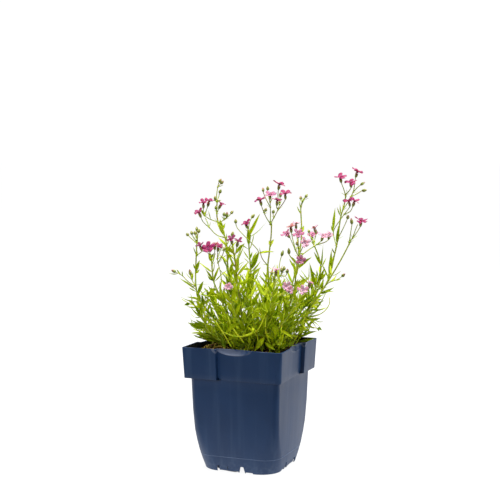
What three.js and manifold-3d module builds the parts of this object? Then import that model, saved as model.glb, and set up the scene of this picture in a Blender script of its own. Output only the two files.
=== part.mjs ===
// A creeping baby's breath in flower, standing in a square plastic nursery pot filled with compost.
// Millimetres, +Z up. The pot's axis is the Z axis and its foot stands on z = 0.
import * as THREE from 'three';
import { ParametricGeometry } from 'three/addons/geometries/ParametricGeometry.js';
import { mergeVertices } from 'three/addons/utils/BufferGeometryUtils.js';
import Module from 'manifold-3d';

const wasm = await Module();
wasm.setup();

// Driving dimensions of the pot
const POT_HEIGHT = 130;
const RIM_HALF = 55;
const COLLAR_HEIGHT = 32.5;
const COLLAR_FOOT = POT_HEIGHT - COLLAR_HEIGHT;
const COLLAR_DRAFT = 1.7;
const WALL = 1.4;
const PROUD_CORNER_RADIUS = 1;
const PLAIN_CORNER_HALF = 53.7;
const PLAIN_CORNER_RADIUS = 5;
const STEP_AT = 17.5;
const STEP_DEPTH = 4;
const STEP_SLOPE = 0.6;
const BODY_HALF = 49;
const BODY_TOP_RADIUS = 5.6;
const FLOOR_HEIGHT = 7;
const PAD_RADIUS = 5;

// How far solids lap into one another where they join, and how far a cut runs past a face
const LAP = 0.01;
const CUT = 1;

// Heights up the body, with its half width and its corner radius there
const BODY_PROFILE = [
  [0, 41.4, 21],
  [10, 43.8, 19.5],
  [20, 45.4, 16.5],
  [43, 47.0, 8.2],
  [COLLAR_FOOT, BODY_HALF, BODY_TOP_RADIUS],
];
const CORNER_STEPS = 3;

// The dips pressed into the rim beside each step
const DIP_CENTRE = -1;
const DIP_OUTSIDE = 3;
const DIP_RADII = [22.7, 5.5, 8.4];

// The foot ring: a shallow recess, two slots and a notch on each side, left to right
const RECESS = { from: -21, to: 3, low: 1, high: 6, depth: 0.7 };
const SLOTS = [
  { at: -19.9, width: 2.4, low: 0.5, high: 6 },
  { at: -9.5, width: 0.9, low: 0.5, high: 6 },
];
const NOTCH = { from: 3, to: 10.5, topFrom: 5.3, topTo: 8.6, high: 6.8 };
const RAISED_SKIRT = { from: 10.5, to: 18.6, high: 1.2 };
const FOOT_CLEAR = 4;
const DRAIN_HOLES = { count: 4, radius: 4, away: 26 };

// Driving dimensions of the compost and the plant; a gap is left round what stands in or beside another piece
const GAP = 0.3;
const SOIL_EDGE = 122.6;
const SOIL_DOME = 4;
const SOIL_DOME_SPREAD = 32;
const SOIL_LUMP = 0.8;
const SOIL_CELLS = 8;
const FOOT_DEPTH = 6;
const FOOT_HOLE = 2.8;
const STEM_RADIUS = 1;
const SIDE_RADIUS = 0.7;
const LEAF_THICKNESS = 0.8;
const PETAL_THICKNESS = 0.6;
const CALYX_LENGTH = 5;
const HEAD_RADIUS = 1.7;
const PETAL_SHARE = 0.14;
const EYE_RISE = 1;
const PAIR_ARCH = 0.4;
const RIM_CLEAR = 1.5;

// The height at which the compost is seen where stems stand, and how soon they leave their feet
const SOIL_SEEN = 127;
const FOOT_RISE = 3;

// How coarse the solids are; rings are given as a share of the length, and for round bodies a radius
const MAIN_SIDES = 4;
const SIDE_SIDES = 3;
const SLIVER = 0.03;
const NARROW_LEAF = 3.1;
const NARROW_LEAF_RINGS = [0, 0.45, 1];
const WIDE_LEAF_RINGS = [0, 0.3, 0.65, 1];
const CALYX_RINGS = [[0.6, 1.65], [1, 1.4]];
const BUD_RINGS = [[0.3, 1.95], [0.72, 1.6], [1, 0.3]];

const POT_COLOUR = '#23395a';
const SOIL_COLOUR = '#2b1d14';
const LEAF_COLOUR = '#82a01e';
const PETAL_COLOURS = {
  magenta: '#b0307a',
  dark: '#7d2a5e',
  rose: '#d873ac',
  pale: '#e6b4d2',
  faded: '#b87a5e',
};

// Where the plant is looked at from: its turn round the pot, and the eye's place in that turned frame
const VIEW_TURN = THREE.MathUtils.degToRad(21.862);
const EYE = { across: -1.02, up: 332.7, away: 1248 };

const acrossAxis = new THREE.Vector3(Math.cos(VIEW_TURN), Math.sin(VIEW_TURN), 0);
const towardAxis = new THREE.Vector3(Math.sin(VIEW_TURN), -Math.cos(VIEW_TURN), 0);
const upAxis = new THREE.Vector3(0, 0, 1);

// A direction given as across, up and toward the eye
function turned(across, up, toward) {
  return new THREE.Vector3()
    .addScaledVector(acrossAxis, across)
    .addScaledVector(upAxis, up)
    .addScaledVector(towardAxis, toward);
}

// The place that is seen at (across, up) on the upright plane through the pot's axis, at another depth
function place(across, up, toward) {
  const nearness = (EYE.away - toward) / EYE.away;
  return turned(EYE.across + (across - EYE.across) * nearness, EYE.up + (up - EYE.up) * nearness, toward);
}

// Repeatable draws
let seed = 20601;
function draw(low, high) {
  seed = (seed * 1664525 + 1013904223) % 4294967296;
  return low + ((high - low) * seed) / 4294967296;
}

function manifoldOf(points, corners) {
  return new wasm.Manifold(new wasm.Mesh({
    numProp: 3,
    vertProperties: Float32Array.from(points),
    triVerts: Uint32Array.from(corners),
  }));
}

// A closed solid, right side out, from a geometry whose doubled points and collapsed faces are dropped
function solid(geometry) {
  geometry.deleteAttribute('normal');
  geometry.deleteAttribute('uv');
  const merged = mergeVertices(geometry, 1e-4);
  const index = merged.index.array;
  const kept = [];
  for (let i = 0; i < index.length; i += 3) {
    const [a, b, c] = [index[i], index[i + 1], index[i + 2]];
    if (a !== b && b !== c && c !== a) kept.push(a, b, c);
  }
  const points = merged.attributes.position.array;
  const shape = manifoldOf(points, kept);
  return shape.volume() > 0 ? shape : manifoldOf(points, kept.reverse());
}

// A named part from its solid, its colour and how rough its surface is
function meshOf(name, shape, color, roughness) {
  const { vertProperties, triVerts } = shape.getMesh();
  const geometry = new THREE.BufferGeometry();
  geometry.setAttribute('position', new THREE.BufferAttribute(Float32Array.from(vertProperties), 3));
  geometry.setIndex(new THREE.BufferAttribute(Uint32Array.from(triVerts), 1));
  geometry.computeVertexNormals();
  const mesh = new THREE.Mesh(geometry, new THREE.MeshStandardMaterial({ color, roughness, metalness: 0 }));
  mesh.name = name;
  return mesh;
}

// A skin whose rings are given by number, closed at both ends where the rings shrink to a point
function skin(around, rings, point) {
  const geometry = new ParametricGeometry((u, v, target) => {
    const corner = Math.round(u * around) % around;
    target.copy(point(corner, Math.round(v * rings)));
  }, around, rings);
  return solid(geometry);
}

// The pot

// A point of a rounded square's outline, by its number
function roundedSquareCorner(half, radius, index) {
  const perCorner = CORNER_STEPS + 1;
  const corner = Math.floor(index / perCorner);
  const angle = (corner + (index % perCorner) / CORNER_STEPS) * (Math.PI / 2);
  const centre = half - radius;
  const signX = corner === 0 || corner === 3 ? 1 : -1;
  const signY = corner < 2 ? 1 : -1;
  return [signX * centre + radius * Math.cos(angle), signY * centre + radius * Math.sin(angle)];
}

// A solid of rounded squares stacked by height, with flat ends
function squareLoft(levels) {
  const around = 4 * (CORNER_STEPS + 1);
  return skin(around, levels.length + 1, (corner, ring) => {
    const level = levels[Math.min(Math.max(ring - 1, 0), levels.length - 1)];
    if (ring === 0 || ring === levels.length + 1) return new THREE.Vector3(0, 0, level[0]);
    const [x, y] = roundedSquareCorner(level[1], level[2], corner);
    return new THREE.Vector3(x, y, level[0]);
  });
}

// The body's height, half width and corner radius at any height
function bodyAt(height) {
  const above = Math.max(1, BODY_PROFILE.findIndex((level) => level[0] >= height));
  const [lower, upper] = [BODY_PROFILE[above - 1], BODY_PROFILE[above]];
  const share = (height - lower[0]) / (upper[0] - lower[0]);
  return [height, lower[1] + share * (upper[1] - lower[1]), lower[2] + share * (upper[2] - lower[2])];
}

// The body's levels between two heights, moved inwards
function bodyLevels(from, to, inwards) {
  const between = BODY_PROFILE.filter((level) => level[0] > from + CUT && level[0] < to - CUT);
  return [bodyAt(from), ...between, bodyAt(to)].map(([z, half, radius]) => (
    [z, half - inwards, radius - inwards]));
}

// The collar's plan: sharp proud corners to the front left and back right, rounded plain ones between
function collarPlan(inwards) {
  const plan = new THREE.Shape();
  const proud = RIM_HALF - inwards;
  const recessed = RIM_HALF - STEP_DEPTH - inwards;
  const plain = PLAIN_CORNER_HALF - inwards;
  const radius = PLAIN_CORNER_RADIUS - inwards;
  const chamfer = PROUD_CORNER_RADIUS;
  for (const side of [1, -1]) {
    const start = [-proud * side, (-proud + chamfer) * side];
    if (side === 1) plan.moveTo(...start);
    else plan.lineTo(...start);
    plan.lineTo((-proud + chamfer) * side, -proud * side);
    plan.lineTo(-STEP_AT * side, -proud * side);
    plan.lineTo((-STEP_AT + STEP_SLOPE) * side, -recessed * side);
    for (let i = 0; i <= CORNER_STEPS; i++) {
      const angle = (i / CORNER_STEPS) * (Math.PI / 2);
      const x = plain - radius + radius * Math.sin(angle);
      const y = -plain + radius - radius * Math.cos(angle);
      plan.lineTo(x * side, y * side);
    }
    plan.lineTo(recessed * side, (STEP_AT - STEP_SLOPE) * side);
    plan.lineTo(proud * side, STEP_AT * side);
    plan.lineTo(proud * side, (proud - chamfer) * side);
  }
  return plan;
}

// A prism of the collar's plan, drawn in towards its foot as the moulding draft asks
function collarPrism(inwards, from, to) {
  const geometry = new THREE.ExtrudeGeometry(collarPlan(inwards), { depth: to - from, bevelEnabled: false });
  const position = geometry.attributes.position;
  for (let i = 0; i < position.count; i++) {
    const z = from + position.getZ(i);
    const draft = 1 - (COLLAR_DRAFT / RIM_HALF) * ((POT_HEIGHT - z) / COLLAR_HEIGHT);
    position.setXYZ(i, position.getX(i) * draft, position.getY(i) * draft, z);
  }
  return solid(geometry);
}

// Repeats a tool on the four sides: mirrored across the plain corners' diagonal, and half a turn round
function onFourSides(makeTool) {
  const tools = [];
  for (const mirrored of [false, true]) {
    for (const halfTurn of [1, -1]) {
      tools.push(makeTool((x, y, z) => (
        mirrored
          ? new THREE.Vector3(-y * halfTurn, -x * halfTurn, z)
          : new THREE.Vector3(x * halfTurn, y * halfTurn, z)
      )));
    }
  }
  return wasm.Manifold.union(tools);
}

// A solid from a geometry whose points are moved by a rule
function moved(geometry, rule) {
  const position = geometry.attributes.position;
  for (let i = 0; i < position.count; i++) {
    const p = rule(position.getX(i), position.getY(i), position.getZ(i));
    position.setXYZ(i, p.x, p.y, p.z);
  }
  return solid(geometry);
}

// An egg-shaped tool over each rim dip, kept to the recessed side of the step
function rimDip(grow) {
  return onFourSides((rule) => {
    const away = RIM_HALF - STEP_DEPTH + DIP_OUTSIDE;
    const egg = new THREE.SphereGeometry(1, 10, 6);
    egg.scale(DIP_RADII[0] + grow, DIP_RADII[1] + grow, DIP_RADII[2] + grow);
    egg.translate(DIP_CENTRE, -away, POT_HEIGHT);
    const reach = STEP_AT - 2 * STEP_SLOPE;
    const keep = new THREE.BoxGeometry(RIM_HALF + reach, 30, 30);
    keep.translate((RIM_HALF - reach) / 2, -away, POT_HEIGHT);
    return moved(egg, rule).intersect(moved(keep, rule));
  });
}

// A block across one side of the foot ring, from so deep in its face to clear outside it
function footBlock(ends, topEnds, depth, low, high) {
  return onFourSides((rule) => {
    const geometry = new THREE.BoxGeometry(1, 1, 1);
    const outer = bodyAt(high)[1] + FOOT_CLEAR;
    const shaped = (x, y, z) => {
      const [from, to] = z < 0 ? ends : topEnds;
      const height = z < 0 ? low : high;
      const inner = bodyAt(Math.max(height, 0))[1] - depth;
      return rule(x < 0 ? from : to, y < 0 ? -outer : -inner, height);
    };
    return moved(geometry, shaped);
  });
}

// A thin-walled body and collar with a floor, rim dips, a notched foot ring, drain holes and a middle foot
function makePot() {
  const outside = squareLoft(bodyLevels(0, COLLAR_FOOT, 0))
    .add(collarPrism(0, COLLAR_FOOT - LAP, POT_HEIGHT));
  const ledge = COLLAR_FOOT + WALL;
  const throat = [ledge + CUT, BODY_HALF - WALL, BODY_TOP_RADIUS - WALL];
  const inside = squareLoft([...bodyLevels(FLOOR_HEIGHT + WALL, COLLAR_FOOT, WALL), throat])
    .add(collarPrism(WALL, ledge, POT_HEIGHT + CUT));
  const [foot, ...upToFloor] = bodyLevels(0, FLOOR_HEIGHT, WALL);
  const underFloor = squareLoft([[-CUT, foot[1], foot[2]], ...upToFloor]);
  const dipWalls = rimDip(WALL).intersect(collarPrism(LAP, ledge + CUT, POT_HEIGHT));
  let pot = outside.subtract(inside).subtract(underFloor).add(dipWalls).subtract(rimDip(0));
  const recess = [RECESS.from, RECESS.to];
  const skirt = [RAISED_SKIRT.from, RAISED_SKIRT.to];
  const cuts = [
    footBlock(recess, recess, RECESS.depth, RECESS.low, RECESS.high),
    footBlock(recess, recess, FOOT_CLEAR, -CUT, RECESS.low),
    footBlock([NOTCH.from, NOTCH.to], [NOTCH.topFrom, NOTCH.topTo], FOOT_CLEAR, -CUT, NOTCH.high),
    footBlock(skirt, skirt, FOOT_CLEAR, -CUT, RAISED_SKIRT.high),
  ];
  for (const slot of SLOTS) {
    const ends = [slot.at - slot.width / 2, slot.at + slot.width / 2];
    cuts.push(footBlock(ends, ends, FOOT_CLEAR, slot.low, slot.high));
  }
  for (let i = 0; i < DRAIN_HOLES.count; i++) {
    const angle = (i / DRAIN_HOLES.count) * 2 * Math.PI;
    const drill = new THREE.CylinderGeometry(DRAIN_HOLES.radius, DRAIN_HOLES.radius, 4 * WALL, 8);
    drill.rotateX(Math.PI / 2);
    drill.translate(DRAIN_HOLES.away * Math.cos(angle), DRAIN_HOLES.away * Math.sin(angle), FLOOR_HEIGHT);
    cuts.push(solid(drill));
  }
  for (const cut of cuts) pot = pot.subtract(cut);
  const padHeight = FLOOR_HEIGHT + WALL / 2;
  const pad = new THREE.CylinderGeometry(PAD_RADIUS + 1, PAD_RADIUS, padHeight, 12);
  pad.rotateX(Math.PI / 2);
  pad.translate(0, 0, padHeight / 2);
  return pot.add(solid(pad));
}

// The compost

function soilHeight(x, y) {
  const dome = SOIL_DOME * Math.exp(-(x * x + y * y) / (2 * SOIL_DOME_SPREAD * SOIL_DOME_SPREAD));
  return SOIL_EDGE + dome + SOIL_LUMP * Math.sin(x * 0.31 + 1) * Math.cos(y * 0.27 - 0.4);
}

// Compost to just under the rim, with a plain hole for each stem's foot
function makeSoil(feet) {
  const inwards = WALL + GAP;
  const ledge = COLLAR_FOOT + inwards;
  const top = new THREE.BoxGeometry(2 * RIM_HALF, 2 * RIM_HALF, COLLAR_HEIGHT, SOIL_CELLS, SOIL_CELLS, 1);
  top.translate(0, 0, ledge);
  const position = top.attributes.position;
  for (let i = 0; i < position.count; i++) {
    if (position.getZ(i) > ledge) position.setZ(i, soilHeight(position.getX(i), position.getY(i)));
  }
  const neck = collarPrism(inwards, ledge, POT_HEIGHT).intersect(solid(top)).subtract(rimDip(inwards));
  const levels = bodyLevels(FLOOR_HEIGHT + inwards, COLLAR_FOOT, inwards);
  levels.push([ledge + CUT, BODY_HALF - inwards, BODY_TOP_RADIUS - inwards]);
  const holes = feet.map(({ x, y }) => {
    const drill = new THREE.BoxGeometry(FOOT_HOLE, FOOT_HOLE, 2 * FOOT_DEPTH);
    drill.translate(x, y, soilHeight(x, y) - GAP);
    return solid(drill);
  });
  return neck.add(squareLoft(levels)).subtract(wasm.Manifold.union(holes));
}

// The plant. Its places are written as seen from the front: across, up, and depth toward the eye.

// The leafy stems, each from its foot in the compost to its tip
// stem: its route; sides: routes of side stems, with the bud or bloom at their end; leaves: from, tip, width,
// how much of the blade faces the eye, and how far it arches; pairs: rows of leaf pairs set by rule
const SPRAYS = [
  {
    name: 'spray_far_left',
    stem: [[-18, 127, 6], [-25, 146, 12], [-36, 153, 15], [-46, 163, 16], [-55, 176, 16], [-58, 186, 16],
      [-58.5, 204, 15], [-57.5, 222, 14], [-57, 232, 13], [-56.5, 240, 12]],
    sides: [
      { route: [[-56.5, 240], [-57, 248, 12]], bud: [-57, 253] },
      { route: [[-56.5, 240], [-55.5, 246, 15]], bud: [-54, 250.5] },
      { route: [[-56.5, 240], [-58.5, 244, 9]], bud: [-59.2, 248.5] },
      { route: [[-57, 237], [-60, 240.5, 15], [-61.8, 244, 16]], bud: [-63, 248.5] },
      { route: [[-57, 235], [-63, 240.5, 8], [-65.5, 243, 8]], bud: [-68, 246] },
      { route: [[-57.5, 222], [-53.5, 225, 17], [-51.3, 226.7, 18]], bloom: 'dark',
        face: [-0.35, 1, 0.2], span: 9 },
      { route: [[-58.3, 189], [-66, 194, 19], [-73, 202, 21], [-79, 204.5, 22]], bud: [-84, 207] },
      { route: [[-58.3, 190], [-61.8, 195, 11], [-63.5, 201, 10]], bud: [-64.8, 208] },
    ],
    leaves: [
      [[-58.4, 204], [-54, 217.5], 3.6, 0.9, 1], [[-58.4, 204], [-54, 208], 2.4, 0.6, -1],
      [[-58.2, 206], [-60.8, 213.5], 2, 0.6, 0], [[-57.5, 222], [-61, 231.5], 1.5, 0.6, 1],
      [[-57.5, 222.5], [-56, 227], 1.5, 0.6, 0], [[-62, 191], [-76, 199.5], 2, 0.35, -1.5],
      [[-56, 179], [-50, 195.5], 3.8, 0.9, 1.5], [[-58.5, 191.5], [-42, 191.8], 2, 0.2, 0.5],
      [[-55.5, 178], [-43, 186.5], 2, 0.3, 1], [[-55.5, 175], [-68.5, 178.5], 2.6, 0.6, 0.5],
      [[-55, 173], [-76, 179.5], 2.6, 0.45, -2], [[-58, 184], [-66, 188.5], 2, 0.4, 0],
      [[-52, 171], [-41, 178], 3.4, 0.9, -1], [[-76, 203.7], [-87.5, 204.3], 2, 0.5, -1],
      [[-74, 202.7], [-78.5, 208], 1.8, 0.5, 0], [[-72, 201], [-72.6, 206.5], 1.8, 0.5, 0],
      [[-62, 196], [-69.5, 205], 1.8, 0.4, 0], [[-62, 195.5], [-61, 205], 2, 0.5, 0],
      [[-62.5, 198], [-62.2, 204], 3, 0.9, 0], [[-57.5, 183], [-54, 172], 3, 0.7, 2],
      [[-50, 168], [-52, 182], 3.4, 0.8, 0],
    ],
    pairs: [{ from: 16, to: 58, gap: 22, length: 19, width: 3.4 }],
  },
  {
    name: 'spray_low_left',
    stem: [[-20, 126, 22], [-30, 130, 27], [-40, 136.5, 31], [-47, 144, 33], [-49, 151, 33], [-52.5, 158, 32],
      [-54, 166, 31]],
    sides: [
      { route: [[-40, 136.5], [-42, 142, 36], [-40.5, 148, 38]] },
      { route: [[-34, 133], [-39, 145, 24], [-44, 158, 22], [-46, 166, 21]] },
    ],
    leaves: [
      [[-47.5, 145], [-67, 151.5], 3.8, 0.85, -2], [[-48, 146.5], [-64, 154], 2.2, 0.4, 0],
      [[-48, 147], [-58.5, 155.5], 2.6, 0.6, 0], [[-52, 156], [-64, 168], 2.6, 0.6, -1],
      [[-53, 158], [-60, 170.5], 3.4, 0.8, 0], [[-53.5, 160], [-52.5, 175], 4, 0.95, 0],
      [[-48.5, 149], [-47, 161], 3.2, 0.8, 0], [[-36, 135], [-58.5, 135.3], 2, 0.35, 0.6],
      [[-33, 133], [-51, 134], 2.4, 0.4, 1.5], [[-48, 148], [-40, 154], 2, 0.5, 0],
      [[-41.5, 141], [-36, 145.5], 2, 0.5, 0], [[-54, 165], [-57, 176], 2.6, 0.6, 0],
      [[-45, 161], [-51, 171], 3.2, 0.7, 0], [[-46, 165], [-42, 172], 3, 0.7, 0],
    ],
    pairs: [],
  },
  {
    name: 'spray_rosy_left',
    stem: [[-8, 127, -8], [-14, 150, -12], [-20, 175, -15], [-22, 195, -17], [-25, 215, -19],
      [-24.8, 228, -20], [-26.5, 240, -20], [-29.5, 247, -21], [-33.5, 254, -21], [-36, 263, -22],
      [-35.8, 272, -22], [-35.5, 280, -22]],
    sides: [
      { route: [[-35, 258], [-41, 259.5, -20], [-46, 262, -18], [-50, 265.5, -16]] },
      { route: [[-50, 265.5], [-50, 269, -15], [-50, 271.5, -15]], bloom: 'magenta',
        face: [0.05, 1, 0.25], span: 10 },
      { route: [[-48, 264], [-47, 269, -20], [-45.5, 273.5, -21]], bloom: 'magenta',
        face: [0.3, 1, 0.1], span: 11 },
      { route: [[-27, 241], [-36, 243, -28], [-44, 252, -29], [-50.5, 257.5, -27], [-52.4, 262, -25]],
        bloom: 'magenta', face: [-0.35, 1, 0.3], span: 10 },
      { route: [[-44, 252], [-46, 258, -33], [-48, 262, -34]] },
      { route: [[-35.6, 278], [-37, 280.5, -20]], bud: [-38, 285] },
      { route: [[-36, 266], [-34.6, 269, -26], [-34, 271, -27]], bloom: 'magenta',
        face: [0.5, 1, 0.2], span: 9 },
      { route: [[-36, 268], [-36.4, 270.5, -17]], bud: [-36.8, 275] },
      { route: [[-35.5, 280], [-35.6, 290, -23], [-34.5, 295.5, -23], [-33.5, 299, -21]], bud: [-31, 303] },
      { route: [[-34.8, 294.5], [-32, 297.5, -25]], bud: [-28.5, 300.8] },
      { route: [[-35.6, 279], [-33.8, 284, -26], [-33, 287.5, -27]], bud: [-31.2, 292] },
      { route: [[-33.5, 255], [-29, 259.5, -17], [-25.5, 262, -15]], bud: [-25, 268.5] },
      { route: [[-28, 260], [-28.3, 263.5, -13]], bud: [-28, 268] },
      { route: [[-27, 261], [-23.5, 263.5, -18], [-21.2, 266, -18]], bud: [-18.5, 269.5] },
    ],
    leaves: [
      [[-30.5, 248.5], [-32.5, 260.5], 4, 0.95, 0], [[-30, 248], [-27, 256.5], 3, 0.8, 0],
      [[-30.5, 248], [-36, 259], 3.4, 0.8, 0], [[-42, 260], [-44.8, 270.5], 1.7, 0.5, 0],
      [[-26, 236], [-25.5, 246], 2, 0.5, 0], [[-24.8, 226], [-21, 235], 2.6, 0.7, 0],
      [[-25, 223], [-26.5, 234], 3.4, 0.9, 0], [[-25, 226], [-38, 229], 1.8, 0.3, 1],
      [[-24.8, 222], [-34, 214], 2, 0.4, 2], [[-22.5, 199], [-27, 216.5], 2.4, 0.6, 0],
      [[-22, 198], [-18.5, 213], 3.4, 0.8, 0], [[-22, 199], [-17.5, 207], 3, 0.8, 0],
      [[-49.8, 265], [-52.5, 271], 2.4, 0.8, 0], [[-49.8, 265], [-47.5, 269], 2, 0.6, 0],
      [[-24.8, 224], [-16, 219], 1.8, 0.4, 1.5], [[-35.5, 279], [-31, 280.5], 1.8, 0.5, 0],
      [[-20.5, 178], [-26.5, 202], 3.8, 0.9, 0], [[-20.8, 180], [-14, 200], 3, 0.8, 0],
    ],
    pairs: [{ from: 14, to: 62, gap: 22, length: 24, width: 3.6 }],
  },
  {
    name: 'spray_bright_left',
    stem: [[-14, 127, 20], [-20, 150, 25], [-29, 170, 28], [-36, 186, 30], [-40, 196, 31], [-41, 210, 31],
      [-41.5, 220, 31], [-43, 224, 31]],
    sides: [
      { route: [[-43, 224], [-44.2, 226, 31]], bloom: 'magenta', face: [-0.1, 0.75, 0.75], span: 14 },
      { route: [[-41, 213], [-38.5, 220, 28], [-38, 228, 27]], bloom: 'faded', face: [0, 1, 0.3], span: 8 },
      { route: [[-33, 180], [-31, 195, 24], [-32, 205, 22], [-35.5, 217, 20], [-35, 226, 19]],
        bloom: 'magenta', face: [0.15, 1, 0.3], span: 9 },
      { route: [[-35.6, 219], [-33, 226, 15], [-31.5, 229.5, 14]], bud: [-31, 234.5] },
      { route: [[-34.5, 214], [-30, 222, 24], [-28.5, 227, 26]], bud: [-28.3, 231.5] },
    ],
    leaves: [
      [[-40, 196], [-48.5, 210], 1.8, 0.5, -1], [[-39.5, 195], [-35, 209.5], 2, 0.6, 0],
      [[-39, 194], [-30, 204.5], 1.6, 0.35, -1], [[-41.5, 220], [-46, 226], 1.8, 0.5, 0],
      [[-41.5, 219], [-39, 225], 2.4, 0.7, 0], [[-31.5, 202], [-25, 207], 1.6, 0.4, 0],
      [[-36, 186], [-43.5, 187], 3, 0.8, 0], [[-31, 174], [-33, 196], 3.4, 0.8, 0],
      [[-30, 172], [-42.5, 186], 3.4, 0.8, 0], [[-29, 170], [-28.5, 189], 3.8, 0.9, 0],
    ],
    pairs: [{ from: 12, to: 50, gap: 22, length: 23, width: 3.6 }],
  },
  {
    name: 'spray_red_stemmed',
    stem: [[-4, 127, 30], [-8, 150, 35], [-12, 175, 38], [-15, 200, 39], [-16.5, 215, 39], [-18, 226, 39],
      [-19.3, 231.5, 39]],
    sides: [
      { route: [[-19.3, 231.5], [-19.6, 233.5, 39]], bloom: 'dark', face: [-0.15, 1, 0.3], span: 10 },
      { route: [[-17, 221], [-15.5, 227, 43], [-15, 231, 44]], bloom: 'dark', face: [0.25, 1, 0.1], span: 9 },
      { route: [[-18.5, 228], [-20.5, 236, 33], [-20, 242, 31]], bud: [-18.6, 248] },
      { route: [[-7, 141], [-14, 152, 42], [-20, 170, 48], [-24, 184, 50], [-24, 186, 50]], bloom: 'pale',
        face: [0, 0.55, 0.85], span: 12 },
    ],
    leaves: [
      [[-21.5, 172], [-31, 186], 3.6, 0.9, 0], [[-21.5, 172], [-16, 187], 3.2, 0.8, 0],
      [[-17, 160], [-27, 176], 3.8, 0.9, 0], [[-17, 160], [-10, 174], 3.8, 0.9, 0],
      [[-14, 150], [-28, 137], 4.6, 0.95, 3], [[-8, 143], [-27.5, 126], 4.8, 0.95, 4],
      [[-16, 218], [-25, 226.5], 1.5, 0.4, 0], [[-16, 216], [-7, 236.5], 1.8, 0.5, 0],
      [[-15.5, 212], [-6.5, 234], 2, 0.6, 0], [[-14.5, 202], [-12.5, 221], 3.8, 0.9, 0],
      [[-14.5, 201], [-2, 216.5], 3, 0.7, 0], [[-13, 190], [-20, 212], 3, 0.8, 0],
      [[-14, 197], [-5, 203.5], 1.6, 0.4, 0], [[-12, 180], [-5, 196], 3.2, 0.8, 0],
      [[-11.5, 176], [-19, 193], 3.4, 0.8, 0],
    ],
    pairs: [{ from: 12, to: 56, gap: 22, length: 25, width: 3.8 }],
  },
  {
    name: 'spray_tall_leaves',
    stem: [[2, 127, -25], [2, 150, -28], [0, 175, -30], [0, 205, -31], [-1, 217, -31], [-2, 228, -31],
      [-2.5, 240, -31], [-2, 248, -31]],
    sides: [
      { route: [[-2, 248], [-3.6, 250.5, -30]], bloom: 'magenta', face: [-0.35, 1, 0.3], span: 10 },
      { route: [[-2, 248], [-2, 256, -33], [0.4, 261.5, -34]], bud: [4, 266] },
      { route: [[-0.5, 210], [5, 222, -24], [9, 226, -22], [3, 233, -18], [-9, 245, -15], [-15, 251.5, -14],
        [-16, 256, -14]], bud: [-16, 260.8] },
    ],
    leaves: [
      [[-2.3, 232], [-3.4, 251], 4, 0.9, 0], [[-2.3, 233], [-0.4, 252], 3.4, 0.8, 0],
      [[-2.4, 241], [9.6, 266.5], 3.4, 0.85, 1], [[-2.4, 242], [16.5, 258.5], 2, 0.4, -3],
      [[-0.4, 207], [9, 226], 4.6, 0.95, 0], [[-0.5, 208], [-10, 207], 3.6, 0.7, 1],
      [[-1, 216], [-9, 229], 2, 0.5, 0], [[0, 190], [4, 207], 3, 0.8, 0], [[0, 188], [-4, 204], 3, 0.7, 0],
    ],
    pairs: [{ from: 14, to: 64, gap: 22, length: 24, width: 3.8 }],
  },
  {
    name: 'spray_rosy_middle',
    stem: [[8, 127, -5], [12, 150, -10], [17, 175, -13], [19, 190, -14], [18.5, 200, -14], [17.5, 212, -14],
      [19, 222, -14], [20, 233, -14], [21.5, 245, -14], [21.5, 256, -14]],
    sides: [
      { route: [[21.5, 256], [16, 262, -10], [13, 269, -8], [11, 274.5, -7]], bloom: 'magenta',
        face: [-0.2, 1, 0.15], span: 12 },
      { route: [[14, 267], [15, 268.5, -5]], bud: [16, 272.5] },
      { route: [[21.5, 256], [20.5, 268, -18], [20, 281, -19]], bloom: 'rose', face: [0, 1, 0.5], span: 14 },
      { route: [[20.3, 274], [15, 283, -24], [12.8, 289, -24]], bud: [12.5, 294] },
      { route: [[20.2, 278], [18, 286, -27], [17.6, 290.5, -28]], bud: [17.6, 295.5] },
      { route: [[21.5, 256], [25, 264, -12], [28.5, 270.5, -11], [33, 276, -10], [36, 281, -9]],
        bloom: 'magenta', face: [0, 1, 0.3], span: 12 },
      { route: [[28.5, 270.5], [26.7, 272.5, -6], [27, 274.3, -5]], bloom: 'magenta',
        face: [0.1, 1, 0.15], span: 10 },
      { route: [[28.5, 270.5], [30.5, 278, -15], [30.5, 283.5, -16]], bud: [31.2, 289] },
      { route: [[30.5, 276], [28, 284, -21], [28.6, 291, -23]], bloom: 'magenta',
        face: [0.2, 1, 0.2], span: 13 },
      { route: [[24.5, 263], [23, 266.5, -17]], bud: [24, 270.5] },
      { route: [[17.5, 212], [12, 218, -9], [9.8, 225, -7]] },
    ],
    leaves: [
      [[9.8, 225], [9, 231.5], 1.6, 0.5, 0], [[10, 224.5], [24.8, 224], 2.2, 0.35, 3],
      [[20, 232], [19, 238.5], 2.4, 0.7, 0], [[20.2, 233], [24, 239.5], 3, 0.8, 0],
      [[20, 230], [22.5, 236], 2.2, 0.6, 0], [[17.6, 210], [24, 205], 1.6, 0.4, 1],
      [[18.8, 196], [12, 206], 2.6, 0.7, 0], [[18.8, 195], [25.5, 214], 2.4, 0.6, 0],
    ],
    pairs: [{ from: 14, to: 60, gap: 22, length: 22, width: 3.6 }],
  },
  {
    name: 'spray_tall_buds',
    stem: [[14, 127, -28], [28, 150, -34], [40, 180, -38], [48, 210, -40], [52.5, 232, -41], [53.5, 250, -42],
      [52.5, 264, -42], [52, 273, -42], [54, 279, -42], [56, 282, -42]],
    sides: [
      { route: [[54, 279], [52.2, 281, -45]], bud: [52, 285] },
      { route: [[56, 282], [57, 283, -42]], bud: [59.3, 287] },
    ],
    leaves: [
      [[53.3, 246], [55.6, 254], 3, 0.9, 0], [[53.3, 246], [51.5, 253], 2.4, 0.6, 0],
      [[52.4, 266], [48, 274.5], 1.8, 0.5, 0], [[52, 271], [51, 280], 1.6, 0.5, 0],
      [[52.7, 275], [56, 283.5], 2, 0.6, 0], [[47, 206], [40, 219], 2.6, 0.5, 0],
      [[46, 203], [45, 216], 3, 0.6, 0],
    ],
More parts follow.
